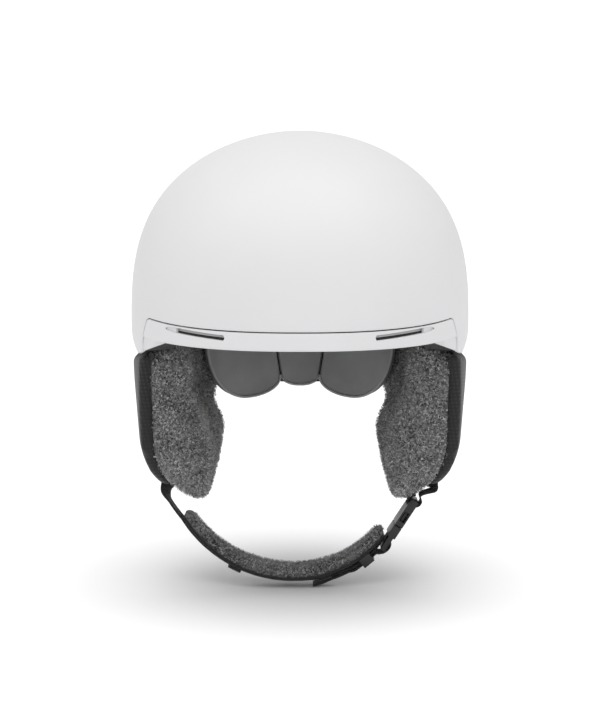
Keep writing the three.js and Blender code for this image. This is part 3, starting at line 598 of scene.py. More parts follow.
def outer_shell():
    """The dome with its brim opening, and four exhaust vents at the back."""
    insets = (0, SHELL_THICKNESS)
    shell = dome_piece("shell_skin", insets, shell_edge, 1.1, dome_bearings(), 64, SHELL_WHITE)
    cutters = []
    for name, side in SIDES:
        for near, far, low, high in REAR_VENTS:
            bearings = (180 - side * near, 180 - side * far)
            cutter_name = f"vent_cut_{name}_{low}"
            cutters.append(dome_block(bearings, (low, high), (-3, 8), cutter_name, (2.2, 2.2)))
    cut_away(shell, *cutters)
    smooth_by_angle(shell, 32)
    return place(shell, "helmet", "outer_shell", slot="shell")


def brim_end(z):
    """Bearing of the brim's end at a height: the end slants, and its top corner is rounded."""
    way = (SEAM_CORNER - z) / (SEAM_CORNER - BRIM_FOOT_HEIGHT)
    near_top = np.clip(BRIM_CORNER_RADIUS - (SEAM_CORNER - SEAM_GAP - z), 0, BRIM_CORNER_RADIUS)
    rounding = BRIM_CORNER_RADIUS - np.sqrt(BRIM_CORNER_RADIUS**2 - near_top**2)
    return lerp(BRIM_CORNER, BRIM_FOOT, way) - 0.5 - rounding / 2.1


def brim_point(u, v, depth):
    way = 2 * u - 1
    bearing = way * BRIM_CORNER
    z = lerp(seam_height(bearing) - SEAM_GAP, BRIM_RISE * brim_climb(bearing), v)
    return dome_point(way * brim_end(z), z, depth)


def slot_cutter(name, side):
    """Through slot that runs out into a shallow tapered scoop at its outer end."""
    near, far = SLOT_BEARINGS
    low, high = SLOT_HEIGHTS
    span = SCOOP_END - near
    thickness = 11.0
    shallow = (SCOOP_DEPTH + 3.0) / thickness

    def surface(u, v, depth):
        bearing = near + span * u
        from_end = np.minimum(span * u / 0.35, span * (1 - u) / 5.5)
        tall = np.sqrt(np.clip(1 - (1 - np.minimum(from_end, 1)) ** 2, 0.0025, 1))
        climb = SLOT_CLIMB * np.minimum((bearing - near) / (far - near), 1.15)
        z = (low + high) / 2 + (high - low) / 2 * (1 - 2 * v) * tall + climb
        reach = lerp(1.0, shallow, np.clip((bearing - far + 0.6) / 0.9, 0, 1))
        return dome_point(side * bearing, z, depth * reach - 3)

    points, faces = slab(surface, (span * 2, high - low), thickness, 0.01, 70, 3, 1)
    return face_outwards(make_object(f"slot_cut_{name}", points, faces, SHELL_WHITE))


def brim():
    """The separate front band, with its two slots."""
    points, faces = slab(brim_point, (250, SEAM_CENTRE), BRIM_THICKNESS, 0.7, 200, 12)
    piece = face_outwards(make_object("brim_band", points, faces, SHELL_WHITE))
    cut_away(piece, *[slot_cutter(name, side) for name, side in SIDES])
    smooth_by_angle(piece, 35)
    return place(piece, "helmet", "brim", slot="shell")


def brim_vent(name, side):
    """Duct behind a slot: a grey ramp over a black strip of painted shade along the slot's bottom."""
    near, far = SLOT_BEARINGS[0] - 1.5, SLOT_BEARINGS[1] + 1.5
    low, high = SLOT_HEIGHTS[0] - 2.6, SLOT_HEIGHTS[1] + 1.1
    inset = BRIM_THICKNESS + 0.4
    # Top of the black strip of painted shade, where the grey ramp begins.
    painted_shade_top = low + 3.9

    def strip_of(bottom, top, lean):
        def surface(u, v, depth):
            z = lerp(top, bottom, v) + SLOT_CLIMB * u
            return dome_point(side * lerp(near, far, u), z, inset + depth + lean * (1 - v))

        return slab(surface, (42, top - bottom), 1.3, 0.3, 40, 4, 2)

    ramp_piece = face_outwards(make_object(f"vent_ramp_{name}", *strip_of(painted_shade_top, high, 0.9), VENT_GREY))
    place(ramp_piece, "helmet", f"brim_vent_{name}", slot="vent")
    # Black strip under the ramp: painted shade where the slot's bottom lies in shadow, not a real part.
    painted_shade_strip = strip_of(low, painted_shade_top - 0.1, 0.0)
    painted_shade_piece = face_outwards(make_object(f"vent_painted_shade_{name}", *painted_shade_strip, BLACK_PLASTIC))
    place(painted_shade_piece, "helmet", slot="plastic")


def shell_return(name, side):
    """The shell's skin folds under the brim's corner; corners are (bearing, height, inset)."""
    outer_top, inner_top = (62.2, 2.0, 0.9), (53.0, 1.7, 3.0)
    outer_low, inner_low = (66.0, -7.8, 1.3), (54.0, -0.9, 8.0)

    def surface(u, v, depth):
        corners = zip(outer_top, inner_top, outer_low, inner_low)
        bearing, z, inset = (lerp(lerp(a, b, u), lerp(c, d, u), v) for a, b, c, d in corners)
        return dome_point(side * bearing, z, inset + depth)

    points, faces = slab(surface, (20, 10), 0.8, 0.3, 16, 10, 3)
    piece = face_outwards(make_object(f"shell_return_{name}", points, faces, SHELL_WHITE))
    place(piece, "helmet", slot="shell")


def liner():
    foam = dome_piece("foam_liner", LINER_INSETS, liner_edge, 2.2, dome_bearings(), 40, BEAD_FOAM)
    return place(foam, "helmet", "eps_liner", slot="foam")


# ---------------------------------------------------------------- soft pieces
def coordinates(mesh):
    flat = np.empty(3 * len(mesh.vertices))
    mesh.vertices.foreach_get("co", flat)
    return flat.reshape(-1, 3)


def set_coordinates(mesh, points):
    mesh.vertices.foreach_set("co", np.asarray(points).ravel())
    mesh.update()


def vertex_normals(mesh):
    flat = np.empty(3 * len(mesh.vertices))
    mesh.vertex_normals.foreach_get("vector", flat)
    return flat.reshape(-1, 3)


CLOTH_FRAMES = 20


def puff(obj, voxel, cap, levels, pressure=4.0):
    """Remeshes a closed pad and lets cloth under pressure swell it, by no more than cap, in mm."""
    remesh = obj.modifiers.new("remesh", "REMESH")
    remesh.mode = "VOXEL"
    remesh.voxel_size = voxel * MM
    bake(obj)
    before = coordinates(obj.data)
    cloth = obj.modifiers.new("cloth", "CLOTH")
    cloth.settings.use_pressure = True
    cloth.settings.uniform_pressure_force = pressure
    cloth.settings.effector_weights.gravity = 0
    for count in range(1, CLOTH_FRAMES + 1):
        bpy.context.scene.frame_set(count)
    bake(obj)
    moved = coordinates(obj.data) - before
    distance = np.linalg.norm(moved, axis=1, keepdims=True)
    moved *= np.minimum(1, cap * MM / np.maximum(distance, 1e-9))
    set_coordinates(obj.data, before + moved)
    bpy.context.scene.frame_set(1)
    subdivide = obj.modifiers.new("smooth", "SUBSURF")
    subdivide.levels = levels
    bake(obj)
    obj.data.polygons.foreach_set("use_smooth", [True] * len(obj.data.polygons))
    return obj


def curl_surface(obj, height, size):
    """Sherpa relief: soft curls over the whole surface, about size across, in mm."""
    points = coordinates(obj.data)
    normals = vertex_normals(obj.data)
    lift = []
    for x, y, z in points / (size * MM):
        at = Vector((x, y, z))
        wide = hills.noise(at)
        fine = hills.noise(at * 2.3 + Vector((7, 3, 1)))
        lift.append(0.6 * abs(wide) ** 0.8 + 0.4 * abs(fine) - 0.3)
    set_coordinates(obj.data, points + normals * np.array(lift)[:, None] * height * MM)


def fibres(name, base, count, radius, width, seed, body, keep=None):
    """Short curled yarn ends over a fleece surface, as flat ribbons."""
    mesh = base.data
    mesh.calc_loop_triangles()
    corners = np.empty(3 * len(mesh.loop_triangles), np.int32)
    mesh.loop_triangles.foreach_get("vertices", corners)
    corners = corners.reshape(-1, 3)
    points = coordinates(mesh)
    a, b, c = (points[corners[:, i]] for i in range(3))
    normal = np.cross(b - a, c - a)
    area = np.linalg.norm(normal, axis=1)
    normal /= np.maximum(area, 1e-15)[:, None]
    if keep is not None:
        area = area * keep((a + b + c) / 3, normal)
    random = np.random.default_rng(seed)
    chosen = random.choice(len(area), count, p=area / area.sum())
    r1, r2 = random.random((2, count, 1))
    flip = r1 + r2 > 1
    r1, r2 = np.where(flip, 1 - r1, r1), np.where(flip, 1 - r2, r2)
    root = a[chosen] + r1 * (b - a)[chosen] + r2 * (c - a)[chosen]
    up = normal[chosen]
    along = np.cross(up, random.normal(size=(count, 3)))
    along /= np.linalg.norm(along, axis=1, keepdims=True)
    side = np.cross(up, along)
    size = radius * MM * random.uniform(0.6, 1.3, (count, 1))
    turn = random.uniform(2.4, 4.4, (count, 1))
    drift = random.normal(0, 0.5, (count, 1))
    rows = []
    for way in np.linspace(0, 1, 7):
        angle = turn * way
        centre = root - up * size * 0.25 + up * size * (1 - np.cos(angle)) + along * size * np.sin(angle)
        centre = centre + side * size * drift * way
        half = width * MM / 2 * (1 - 0.55 * way)
        rows.append(np.stack([centre - side * half, centre + side * half], axis=1))
    strand = np.concatenate(rows, axis=1).reshape(-1, 3) / MM
    faces = [
        (14 * k + 2 * i, 14 * k + 2 * i + 1, 14 * k + 2 * i + 3, 14 * k + 2 * i + 2)
        for k in range(count)
        for i in range(6)
    ]
    return place(make_object(name, strand, faces, FLEECE_YARN), body, slot="fleece")


# ---------------------------------------------------------------- ear pads
EAR_HALF_WIDTH = knots(
    ((-112, 80.5), (-105, 89.3), (-93, 97), (-86, 100.2), (-73, 103.9), (-31, 107.1), (-12, 108)), 2.0
)
CHEEK_HALF_WIDTH = knots(((-112, 60), (-97, 56), (-80, 57), (-60, 63), (-35, 71), (-20, 75)), 4.0)
NAPE_HALF_WIDTH = knots(
    ((-112, 60), (-90, 57), (-74, 58), (-66, 66), (-58, 75), (-45, 76), (-20, 79)), 2.5
)
EAR_BOTTOM = knots(
    (
        (0, -82), (0.08, -97), (0.18, -107), (0.3, -112), (0.42, -111),
        (0.55, -103), (0.7, -89), (0.85, -75), (1, -66),
    ),
    0.04,
)
EAR_TOP = knots(
    (
        (60, -10.4), (65.8, -10.4), (74, -13.9), (90, -15.4),
        (122, -16.6), (134, -24), (143, -39), (150, -40),
    ),
    2.0,
)
EAR_COVER = 8.0
EAR_COVER_LIFT = 8.0


def ear_bearing(u, v):
    return lerp(lerp(65.5, 78, v), lerp(143, 130, v), u)


def ear_inner_half_width(z, bearing):
    """Half width inside the pads: cheek in front, nape behind, with a lobe between the two."""
    way = np.clip((bearing - 80) / 35, 0, 1)
    nape_lobe = lerp(12, 1, np.clip((-58 - z) / 20, 0, 1)) * np.exp(-(((bearing - 103) / 11) ** 2))
    nape_lobe = nape_lobe * np.clip((-49 - z) / 9, 0, 1)
    return lerp(CHEEK_HALF_WIDTH(z), NAPE_HALF_WIDTH(z), way * way * (3 - 2 * way)) - nape_lobe


def ear_point(side, u, v, distance, lift):
    """Point of an ear pad; distance(z, bearing, thickness) is measured in from the outer face."""
    bearing = ear_bearing(u, v)
    z = lerp(EAR_TOP(ear_bearing(u, 0)), EAR_BOTTOM(u) + lift, v)
    thickness = EAR_HALF_WIDTH(z) - ear_inner_half_width(z, bearing)
    inwards = distance(thickness)
    share = inwards / thickness
    half_width = EAR_HALF_WIDTH(z) - inwards
    return plan_point(side * bearing, half_width, lerp(112, 100, share), lerp(127, 113, share), z)


def ear_cover(name, side):
    """Black cloth outer face of an ear pad."""
    def surface(u, v, depth):
        return ear_point(side, u, v, lambda thickness: depth, EAR_COVER_LIFT - 2)

    points, faces = slab(surface, (150, 85), EAR_COVER, 3.4, 60, 34, 4)
    piece = face_outwards(make_object(f"ear_shell_cloth_{name}", points, faces, COVER_CLOTH))
    puff(piece, 2.2, 0.9, 1, 1.5)
    place(piece, "helmet", f"ear_cover_{name}", slot="cover")
    return piece


FLEECE_NOMINAL = 30.0
FLEECE_START = 7.4
FLEECE_RISE = 7.0
STRAP_ROOM = 2.8


def ear_fleece(name, side):
    """Sherpa body of an ear pad, with yarn ends where the head or the camera meets it."""
    def surface(u, v, depth):
        way = depth / FLEECE_NOMINAL
        start = FLEECE_START + STRAP_ROOM * np.clip((v - 0.8) / 0.2, 0, 1)
        points = ear_point(side, u, v, lambda thickness: lerp(start, thickness - 1.2, way), -2.6)
        inside = np.clip((way - 0.45) / 0.35, 0, 1)
        points[..., 2] += FLEECE_RISE * inside * (1 - v) ** 2
        return points

    points, faces = slab(surface, (150, 88), FLEECE_NOMINAL, 7, 60, 34, 5)
    piece = face_outwards(make_object(f"ear_sherpa_{name}", points, faces, FLEECE))
    puff(piece, 3.6, 1.6, 2)
    curl_surface(piece, 1.7, 2.6)
    place(piece, "helmet", f"ear_fleece_{name}", slot="fleece")

    def facing_in(centre, normal):
        outer = side * centre[:, 0] * 1000
        return (outer < 94) & (side * normal[:, 0] < 0.75)

    fibres(f"ear_yarn_{name}", piece, 15000, 1.0, 0.5, 5 + side, "helmet", facing_in)
    return piece


def rings_along(points, offsets, sides=None):
    """Rings of a cross-section carried along a route; offsets are (across, out) pairs in mm."""
    points = np.asarray(points, float)
    ahead = np.roll(points, -1, axis=0)
    behind = np.roll(points, 1, axis=0)
    ahead[-1], behind[0] = points[-1], points[0]
    along = ahead - behind
    along /= np.linalg.norm(along, axis=1, keepdims=True)
    if sides is None:
        sides = [(0.0, 0.0, 1.0) if abs(t[2]) < 0.9 else (0.0, 1.0, 0.0) for t in along]
    sides = np.asarray(sides, float)
    sides = sides - along * np.sum(sides * along, axis=1, keepdims=True)
    sides /= np.linalg.norm(sides, axis=1, keepdims=True)
    outs = np.cross(along, sides)
    offsets = np.asarray(offsets, float)
    if offsets.ndim == 2:
        offsets = np.broadcast_to(offsets, (len(points), *offsets.shape))
    rings = points[:, None] + sides[:, None] * offsets[..., :1] + outs[:, None] * offsets[..., 1:]
    return rings.reshape(-1, 3), offsets.shape[1]


def tube(name, points, radius, material, corners=8):
    angles = np.linspace(0, 2 * math.pi, corners, endpoint=False)
    offsets = radius * np.stack([np.cos(angles), np.sin(angles)], axis=1)
    rings, size = rings_along(points, offsets)
    faces = ring_faces(len(points), size, closed_rings=True)
    return face_outwards(make_object(name, rings, faces, material))


def smooth_route(points, parts=6):
    """Catmull-Rom curve through the points."""
    points = np.asarray(points, float)
    padded = np.vstack([2 * points[0] - points[1], points, 2 * points[-1] - points[-2]])
    way = np.linspace(0, 1, parts, endpoint=False)[:, None]
    runs = []
    for a, b, c, d in zip(padded, padded[1:], padded[2:], padded[3:]):
        square = (2 * a - 5 * b + 4 * c - d) * way**2
        cube = (3 * b - a - 3 * c + d) * way**3
        runs.append((2 * b + (c - a) * way + square + cube) / 2)
    return np.vstack([*runs, points[-1:]])


WEB_THICKNESS = 1.1


def webbing(name, points, sides, widths, thickness=WEB_THICKNESS):
    """Flat strap along a route, with rounded selvedges and a UV map in mm along and across."""
    count = len(points)
    widths = np.broadcast_to(widths, count)
    half = thickness / 2
    outline = [(-1, -0.45), (-0.97, -1), (-0.5, -1.0), (0, -1.0), (0.5, -1.0), (0.97, -1), (1, -0.45)]
    outline += [(x, -y) for x, y in outline[::-1]]
    offsets = np.array([[(x * w / 2, y * half) for x, y in outline] for w in widths])
    rings, size = rings_along(points, offsets, sides)
    piece = make_object(name, rings, ring_faces(count, size, closed_rings=True), WEBBING)
    steps = np.linalg.norm(np.diff(np.asarray(points, float), axis=0), axis=1)
    along = np.concatenate([[0], np.cumsum(steps)])
    layer = piece.data.uv_layers.new(name="weave")
    for loop in piece.data.loops:
        ring, corner = divmod(loop.vertex_index, size)
        layer.data[loop.index].uv = (along[ring], outline[corner][0] * widths[ring] / 2)
    return piece


def stitches(name, points, normals, length, gap, body, radius=0.28, slot="webbing"):
    """Row of separate stitches along a route, each a short thread that dips at both ends."""
    points = np.asarray(points, float)
    normals = np.broadcast_to(np.asarray(normals, float), points.shape)
    steps = np.concatenate([[0], np.cumsum(np.linalg.norm(np.diff(points, axis=0), axis=1))])
    all_points, all_faces = [], []
    start = 0.0
    while start + length < steps[-1]:
        at = np.linspace(start, start + length, 5)
        middle = np.stack([np.interp(at, steps, points[:, k]) for k in range(3)], axis=1)
        up = np.stack([np.interp(at, steps, normals[:, k]) for k in range(3)], axis=1)
        middle += up * (np.array([-0.3, 0.1, 0.2, 0.1, -0.3])[:, None] * radius * 2)
        angles = np.linspace(0, 2 * math.pi, 6, endpoint=False)
        offsets = radius * np.stack([np.cos(angles), np.sin(angles)], axis=1)
        rings, size = rings_along(middle, offsets, up)
        base = len(all_points)
        all_points.extend(rings)
        all_faces.extend(tuple(base + i for i in face) for face in ring_faces(5, size, closed_rings=True))
        start += length + gap
    piece = face_outwards(make_object(name, all_points, all_faces, THREAD))
    return place(piece, body, slot=slot)


# ---------------------------------------------------------------- comfort pads
def liner_pad(name, node, bearings, heights, columns):
    """Knit comfort pad on the liner's inner face, narrower at its ends."""
    near, far = bearings
    low, high = heights
    inset = LINER_INSETS[1] + 1.2

    def surface(u, v, depth):
        corner = np.minimum(np.minimum(u, 1 - u) * abs(far - near) / 4, 1)
        squeeze = 0.78 + 0.22 * np.sqrt(1 - (1 - corner) ** 2)
        middle = (low + high) / 2
        z = middle + (high - low) / 2 * (1 - 2 * v) * squeeze
        return dome_point(lerp(near, far, u), z, inset + depth)

    points, faces = slab(surface, (abs(far - near) * 2, high - low), 4.6, 2.2, columns, 14)
    piece = face_outwards(make_object(name, points, faces, PAD_KNIT))
    puff(piece, 1.8, 0.6, 1, 2.0)
    place(piece, "helmet", node, slot="pad")
    return piece


def crown_pad():
    """Five-lobed knit pad at the top of the liner."""
    inset = LINER_INSETS[1] + 1.2
    height = SHELL_TOP - WIDEST_HEIGHT - inset

    def surface(u, v, depth):
        angle = lerp(math.radians(88), math.radians(45), u)
        turn = 360 * v
        z = WIDEST_HEIGHT + (height - depth) * np.maximum(np.sin(angle), 0) ** (2 / PROFILE_RISE)
        return dome_point(turn, z, inset + depth)

    lobes = 5
    turns = np.linspace(0, 360, 120, endpoint=False)
    rows = np.linspace(0, 1, 16)
    rings = []
    for turn in turns:
        reach = 0.86 + 0.14 * abs(math.cos(math.radians(turn) * lobes / 2)) ** 0.7
        profile = [(u * reach, 0.0) for u in rows]
        profile += [(reach, 1.2), (reach * 0.985, 3.4), (reach * 0.95, 4.6)]
        profile += [(u * reach, 4.6) for u in rows[::-1][1:] if u < 0.93]
        u, depth = np.array(profile).T
        rings.append(surface(u, np.full_like(u, turn / 360), depth))
    size = len(rings[0])
    faces = ring_faces(len(rings), size, closed_path=True)
    piece = face_outwards(make_object("crown_cushion", np.vstack(rings), faces, PAD_KNIT))
    place(piece, "helmet", "crown_pad", slot="pad")


# ---------------------------------------------------------------- rear cradle
CRADLE_CENTRE_Y = 12.0
CRADLE_PAD_RADIUS = 78.0
CRADLE_FRAME_RADIUS = 85.0
PAD_BACK = knots(((33, 84.4), (54, 80.4)))
CENTRE_HALF = knots(((0, 12.2), (0.9, 8.7), (1, 5)), 0.03)
PAD_TOP = -16.0
LOBE_BOTTOM = -56.0
CENTRE_BOTTOM = -49.0


LOBE_TIP = 28.0


def lobe_outer(v):
    return LOBE_TIP + 26 * np.clip(1 - power(v, 1.8), 0, 1) ** (1 / 1.9)


def lobe_inner(v):
    """Side angle of a lobe's edge nearest the centre, turning out to the tip."""
    bend = np.clip((v - 0.62) / 0.38, 0, 1)
    start = 12.8 - 4.5 * v
    return start + (LOBE_TIP - 8.3) * (1 - np.sqrt(1 - bend**2))


def cradle_point(angle, radius, z):
    turn = np.radians(angle)
    return np.stack(
        np.broadcast_arrays(radius * np.sin(turn), CRADLE_CENTRE_Y + radius * np.cos(turn), z), axis=-1
    )


def cradle_pad(name, node, angles, bottom):
    """Moulded pad with rounded edges, between two side angles that change with height."""

    def surface(u, v, depth):
        low, high = angles(v)
        angle = lerp(low, high, u)
        back = PAD_BACK(np.abs(angle))
        front = CRADLE_PAD_RADIUS
        return cradle_point(angle, lerp(front, back, depth / 6.0), lerp(PAD_TOP, bottom, v))

    points, faces = slab(surface, (60, PAD_TOP - bottom), 6.0, 1.9, 44, 30, 5)
    piece = face_outwards(make_object(name, points, faces, EVA_GREY))
    place(piece, "cradle", node, slot="eva")
    return piece


def cradle_bead(name, outline):
    """Thin rolled edge round a cradle pad."""
    return place(tube(name, outline, 0.95, EVA_BEAD), "cradle", slot="eva")


FRAME_TOP = -20.0


def cradle_plate():
    """Plastic back of the cradle; its lower edge rises behind the centre pad."""

    def surface(u, v, depth):
        half = lerp(33, 27, v)
        angle = lerp(-half, half, u)
        beside = np.clip((np.abs(angle) - 8) / 10, 0, 1)
        bottom = -45.5 - 7.5 * beside * beside * (3 - 2 * beside)
        return cradle_point(angle, CRADLE_FRAME_RADIUS + depth, lerp(FRAME_TOP, bottom, v))

    points, faces = slab(surface, (98, 34), 2.4, 0.6, 80, 24)
    piece = face_outwards(make_object("cradle_plate", points, faces, BLACK_PLASTIC))
    place(piece, "cradle", "cradle_frame", slot="plastic")


def cradle_pads():
    """Two side lobes and a centre tongue, each with a bead round its free edge."""
    for name, side in SIDES:
        cradle_pad(
            f"cradle_lobe_{name}",
            f"cradle_pad_{name}",
            lambda v, side=side: (side * (lobe_inner(v) + 0.15), side * (lobe_outer(v) + 0.4)),
            LOBE_BOTTOM,
        )
        ways = 1 - np.linspace(0.98, 0.03, 50) ** 2
        outer = cradle_point(side * lobe_outer(ways), 77.9, lerp(PAD_TOP, LOBE_BOTTOM, ways))
        ways = 1 - np.linspace(0.03, 0.6, 24) ** 2
        inner = cradle_point(side * lobe_inner(ways), 77.9, lerp(PAD_TOP, LOBE_BOTTOM, ways))
        cradle_bead(f"cradle_bead_{name}", np.vstack([outer, inner]))
    cradle_pad(
        "cradle_tongue", "cradle_pad_centre", lambda v: (-CENTRE_HALF(v), CENTRE_HALF(v)), CENTRE_BOTTOM
    )
    across = np.linspace(-8.2, 8.2, 20)
    sag = CENTRE_BOTTOM + 0.4 + 3.0 * (np.abs(across) / 8.2) ** 2.5
    cradle_bead("cradle_bead_centre", cradle_point(across, 77.9, sag))


# ---------------------------------------------------------------- chin pad and straps
STRAP_EXIT = (88.0, 2.0, -106.0)
CHIN_CENTRE = (-4.7, -95.0)
CHIN_ENDS = (201.0, 327.0)
CHIN_WIDENING = (7.8, 2.8)
CHIN_RADII = (62.2, 69.2, 71.0)
CHIN_WEBBING_RADIUS = 72.9
CHIN_WEBBING_DRAWN_IN = (1.1, 1.3)
CHIN_TAIL_RADIUS = 75.1
KEEPERS = (("left", 239.0), ("right", 287.0))
KEEPER_LENGTH = 8.4
KEEPER_LIFT = 2.4
SLIDER_ANGLE = -50.0
BUCKLE_BAR = (55.5, -144.0)
BUCKLE_UP = (0.545, 0.838)


def chin_point(radius, degrees, across=0.0):
    """Point on the chin pad's curve; the curve opens out towards both ends."""
    degrees = np.asarray(degrees, float)
    turn = np.mod(degrees, 360) - 270
    left = CHIN_WIDENING[0] * (turn / (CHIN_ENDS[0] - 270)) ** 2
    right = CHIN_WIDENING[1] * (turn / (CHIN_ENDS[1] - 270)) ** 2
    reach = radius + np.where(turn < 0, left, right)
    angle = np.radians(degrees)
    x = CHIN_CENTRE[0] + reach * np.cos(angle)
    z = CHIN_CENTRE[1] + reach * np.sin(angle)
    return np.stack(np.broadcast_arrays(x, STRAP_EXIT[1] + across, z), axis=-1)


def buckle_point(up, out, across=0.0):
    return np.array([
        BUCKLE_BAR[0] + BUCKLE_UP[0] * up + BUCKLE_UP[1] * out,
        STRAP_EXIT[1] + across,
        BUCKLE_BAR[1] + BUCKLE_UP[1] * up - BUCKLE_UP[0] * out,
    ])


def chin_end_taper(way):
    """Share of full width along the chin pad, from 0 to 1 end to end."""
    return 0.6 + 0.4 * np.sin(np.pi * np.clip(way, 0.0, 1.0)) ** 0.6


def chin_layer(name, radii, half_width, trim, material, edge, rows):
    """Crescent between two radii, narrower towards its rounded ends."""
    inner, outer = radii
    first, last = CHIN_ENDS[0] + trim, CHIN_ENDS[1] - trim

    def surface(u, v, depth):
        wide = half_width * chin_end_taper(u)
        return chin_point(inner + depth, lerp(first, last, u), wide * (2 * v - 1))

    points, faces = slab(surface, (150, 2 * half_width), outer - inner, edge, 90, rows, 5)
    return face_outwards(make_object(name, points, faces, material))


def chin_pad():
    """Fleece crescent on a cloth backing, with a row of stitches near each edge of the backing."""
    inner, middle, outer = CHIN_RADII
    fleece = chin_layer("chin_sherpa", (inner + 0.8, middle + 0.3), 11.4, -0.8, FLEECE, 3.7, 12)
    puff(fleece, 2.4, 0.9, 1)
    curl_surface(fleece, 1.0, 2.2)
    place(fleece, "chin_pad", "chin_pad_fleece", slot="fleece")

    def away_from_backing(centre, normal):
        reach = np.hypot(centre[:, 0] * 1000 - CHIN_CENTRE[0], centre[:, 2] * 1000 - CHIN_CENTRE[1])
        return reach < 71

    fibres("chin_yarn", fleece, 6000, 0.7, 0.42, 23, "chin_pad", away_from_backing)
    backing = chin_layer("chin_backing", (middle + 0.2, outer), 12.3, 1.6, COVER_CLOTH, 1.0, 8)
    place(backing, "chin_pad", "chin_pad_backing", slot="cover")
    angles = np.linspace(205, 325, 120)
    for name, across in (("front", -10.4), ("rear", 10.4)):
        way = (angles - CHIN_ENDS[0]) / (CHIN_ENDS[1] - CHIN_ENDS[0])
        seam = chin_point(outer + 0.05, angles, across * chin_end_taper(way))
        out = np.stack([np.cos(np.radians(angles)), 0 * angles, np.sin(np.radians(angles))], axis=1)
        stitches(f"chin_seam_{name}", seam, out, 2.0, 1.0, "chin_pad", 0.22, "cover")


def slider_frame():
    """Direction along the straight run under the slider, the outward one, and the arc's middle."""
    angle = math.radians(SLIDER_ANGLE)
    along = np.array([-math.sin(angle), 0, math.cos(angle)])
    out = np.array([math.cos(angle), 0, math.sin(angle)])
    turn = SLIDER_ANGLE + 90
    widening = CHIN_WIDENING[1] * (turn / (CHIN_ENDS[1] - 270)) ** 2
    middle = np.array([CHIN_CENTRE[0], STRAP_EXIT[1], CHIN_CENTRE[1]]) + out * widening
    return along, out, middle


def chin_webbing():
    """One run: along the chin pad, round the buckle plug's bar and back through the slider."""
    along, out, middle = slider_frame()

    def beyond(radius, shift):
        return middle + out * radius + along * shift

    def arc(radius, first, last, count):
        return [chin_point(radius, a) for a in np.linspace(first, last, count + 1)]

    hugging = np.linspace(-158, SLIDER_ANGLE - 11, 16)
    drawn_in = lerp(CHIN_WEBBING_DRAWN_IN[1], CHIN_WEBBING_DRAWN_IN[0], ((hugging + 90) / 68) ** 2)
    drawn_in = drawn_in * np.clip((SLIDER_ANGLE - 14 - hugging) / 22, 0, 1)
    route = [
        *chin_point(CHIN_WEBBING_RADIUS - drawn_in, hugging),
        beyond(CHIN_WEBBING_RADIUS, -9),
        beyond(CHIN_WEBBING_RADIUS, 7),
        buckle_point(-6.5, -3.8),
        buckle_point(1.5, -3.2),
        buckle_point(4, -2.2),
        buckle_point(5, 0),
        buckle_point(4, 2.4),
        buckle_point(0.5, 3.4),
        buckle_point(-3.4, 2.2),
        buckle_point(-6.2, -0.6),
        beyond(CHIN_TAIL_RADIUS, 7),
        beyond(CHIN_TAIL_RADIUS, -9),
        *arc(CHIN_TAIL_RADIUS, SLIDER_ANGLE - 11, -70, 2),
        chin_point(CHIN_TAIL_RADIUS + 0.8, -75),
        chin_point(CHIN_TAIL_RADIUS + 1.3, -80),
    ]
    smooth = smooth_route(route, 4)
    piece = webbing("chin_strap_webbing", smooth, np.tile((0.0, 1.0, 0.0), (len(smooth), 1)), 14.6)
    place(piece, "chin_pad", "chin_webbing", slot="webbing")


def keeper(name, degrees):
    """Elastic loop over the webbing, sewn down to the backing at both ends."""
    half_angle = math.degrees(KEEPER_LENGTH / 2 / CHIN_WEBBING_RADIUS)

    def surface(u, v, depth):
        across = 2 * v - 1
        lift = CHIN_RADII[2] + 0.05 + KEEPER_LIFT * (1 - np.abs(across) ** 8)
        return chin_point(lift + depth, degrees + half_angle * (2 * u - 1), 9.6 * across)

    points, faces = slab(surface, (KEEPER_LENGTH, 19), 0.9, 0.35, 12, 24)
    piece = face_outwards(make_object(f"keeper_loop_{name}", points, faces, ELASTIC))
    return place(piece, "chin_pad", f"chin_keeper_{name}", slot="webbing")


def strap_left():
    """Strap from the right ear pad to the chin pad; it leaves the pad twisted and gathered.
    """
    x, y, z = STRAP_EXIT
    start = chin_point(CHIN_WEBBING_RADIUS - CHIN_WEBBING_DRAWN_IN[0], -158.6)
    route = smooth_route([
        (-x + 1.0, y, z + 3),
        (-x, y, z - 1.5),
        (-x + 1.6, y, z - 7),
        (-x + 4.6, y, z - 12),
        start + (0.3, 0, -0.8),
    ], 8)
    way = np.linspace(0, 1, len(route))
    twist = np.clip(1 - way * 1.7, 0, 1) ** 1.5 * math.radians(62)
    sides = np.stack([np.sin(twist), np.cos(twist), 0 * twist], axis=1)
    widths = lerp(10.0, 14.6, np.clip(3 * way, 0, 1))
    piece = webbing("strap_chin_side", route, sides, widths)
    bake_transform(piece)
    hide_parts("strap_to_chin_pad")


def strap_right():
    """Strap from the left ear pad, folded round the buckle socket's bar."""
    x, y, z = STRAP_EXIT
    route = smooth_route([
        (x - 1.0, y, z + 3),
        (x - 0.5, y, z - 1),
        buckle_point(41.5, 1.6),
        buckle_point(38, 4.3),
        buckle_point(34.6, 3.9),
        buckle_point(33, 1.4),
        buckle_point(33, -1.4),
        buckle_point(34.6, -3.9),
        buckle_point(38, -3.2),
        buckle_point(40, -1.2),
    ], 6)
    way = np.linspace(0, 1, len(route))
    twist = np.clip(1 - way * 5, 0, 1) ** 1.5 * math.radians(-55)
    sides = np.stack([np.sin(twist), np.cos(twist), 0 * twist], axis=1)
    widths = lerp(10.0, 14.6, np.clip(5 * way, 0, 1))
    piece = webbing("strap_buckle_side", route, sides, widths)
    place(piece, "chin_straps", "strap_to_buckle", slot="webbing")


# ---------------------------------------------------------------- hard parts kept from the frame
def body_of_node(node):
    bodies = frame["record"]["behaviour"]["bodies"]
    return next(body for body, nodes in bodies.items() if node in nodes)


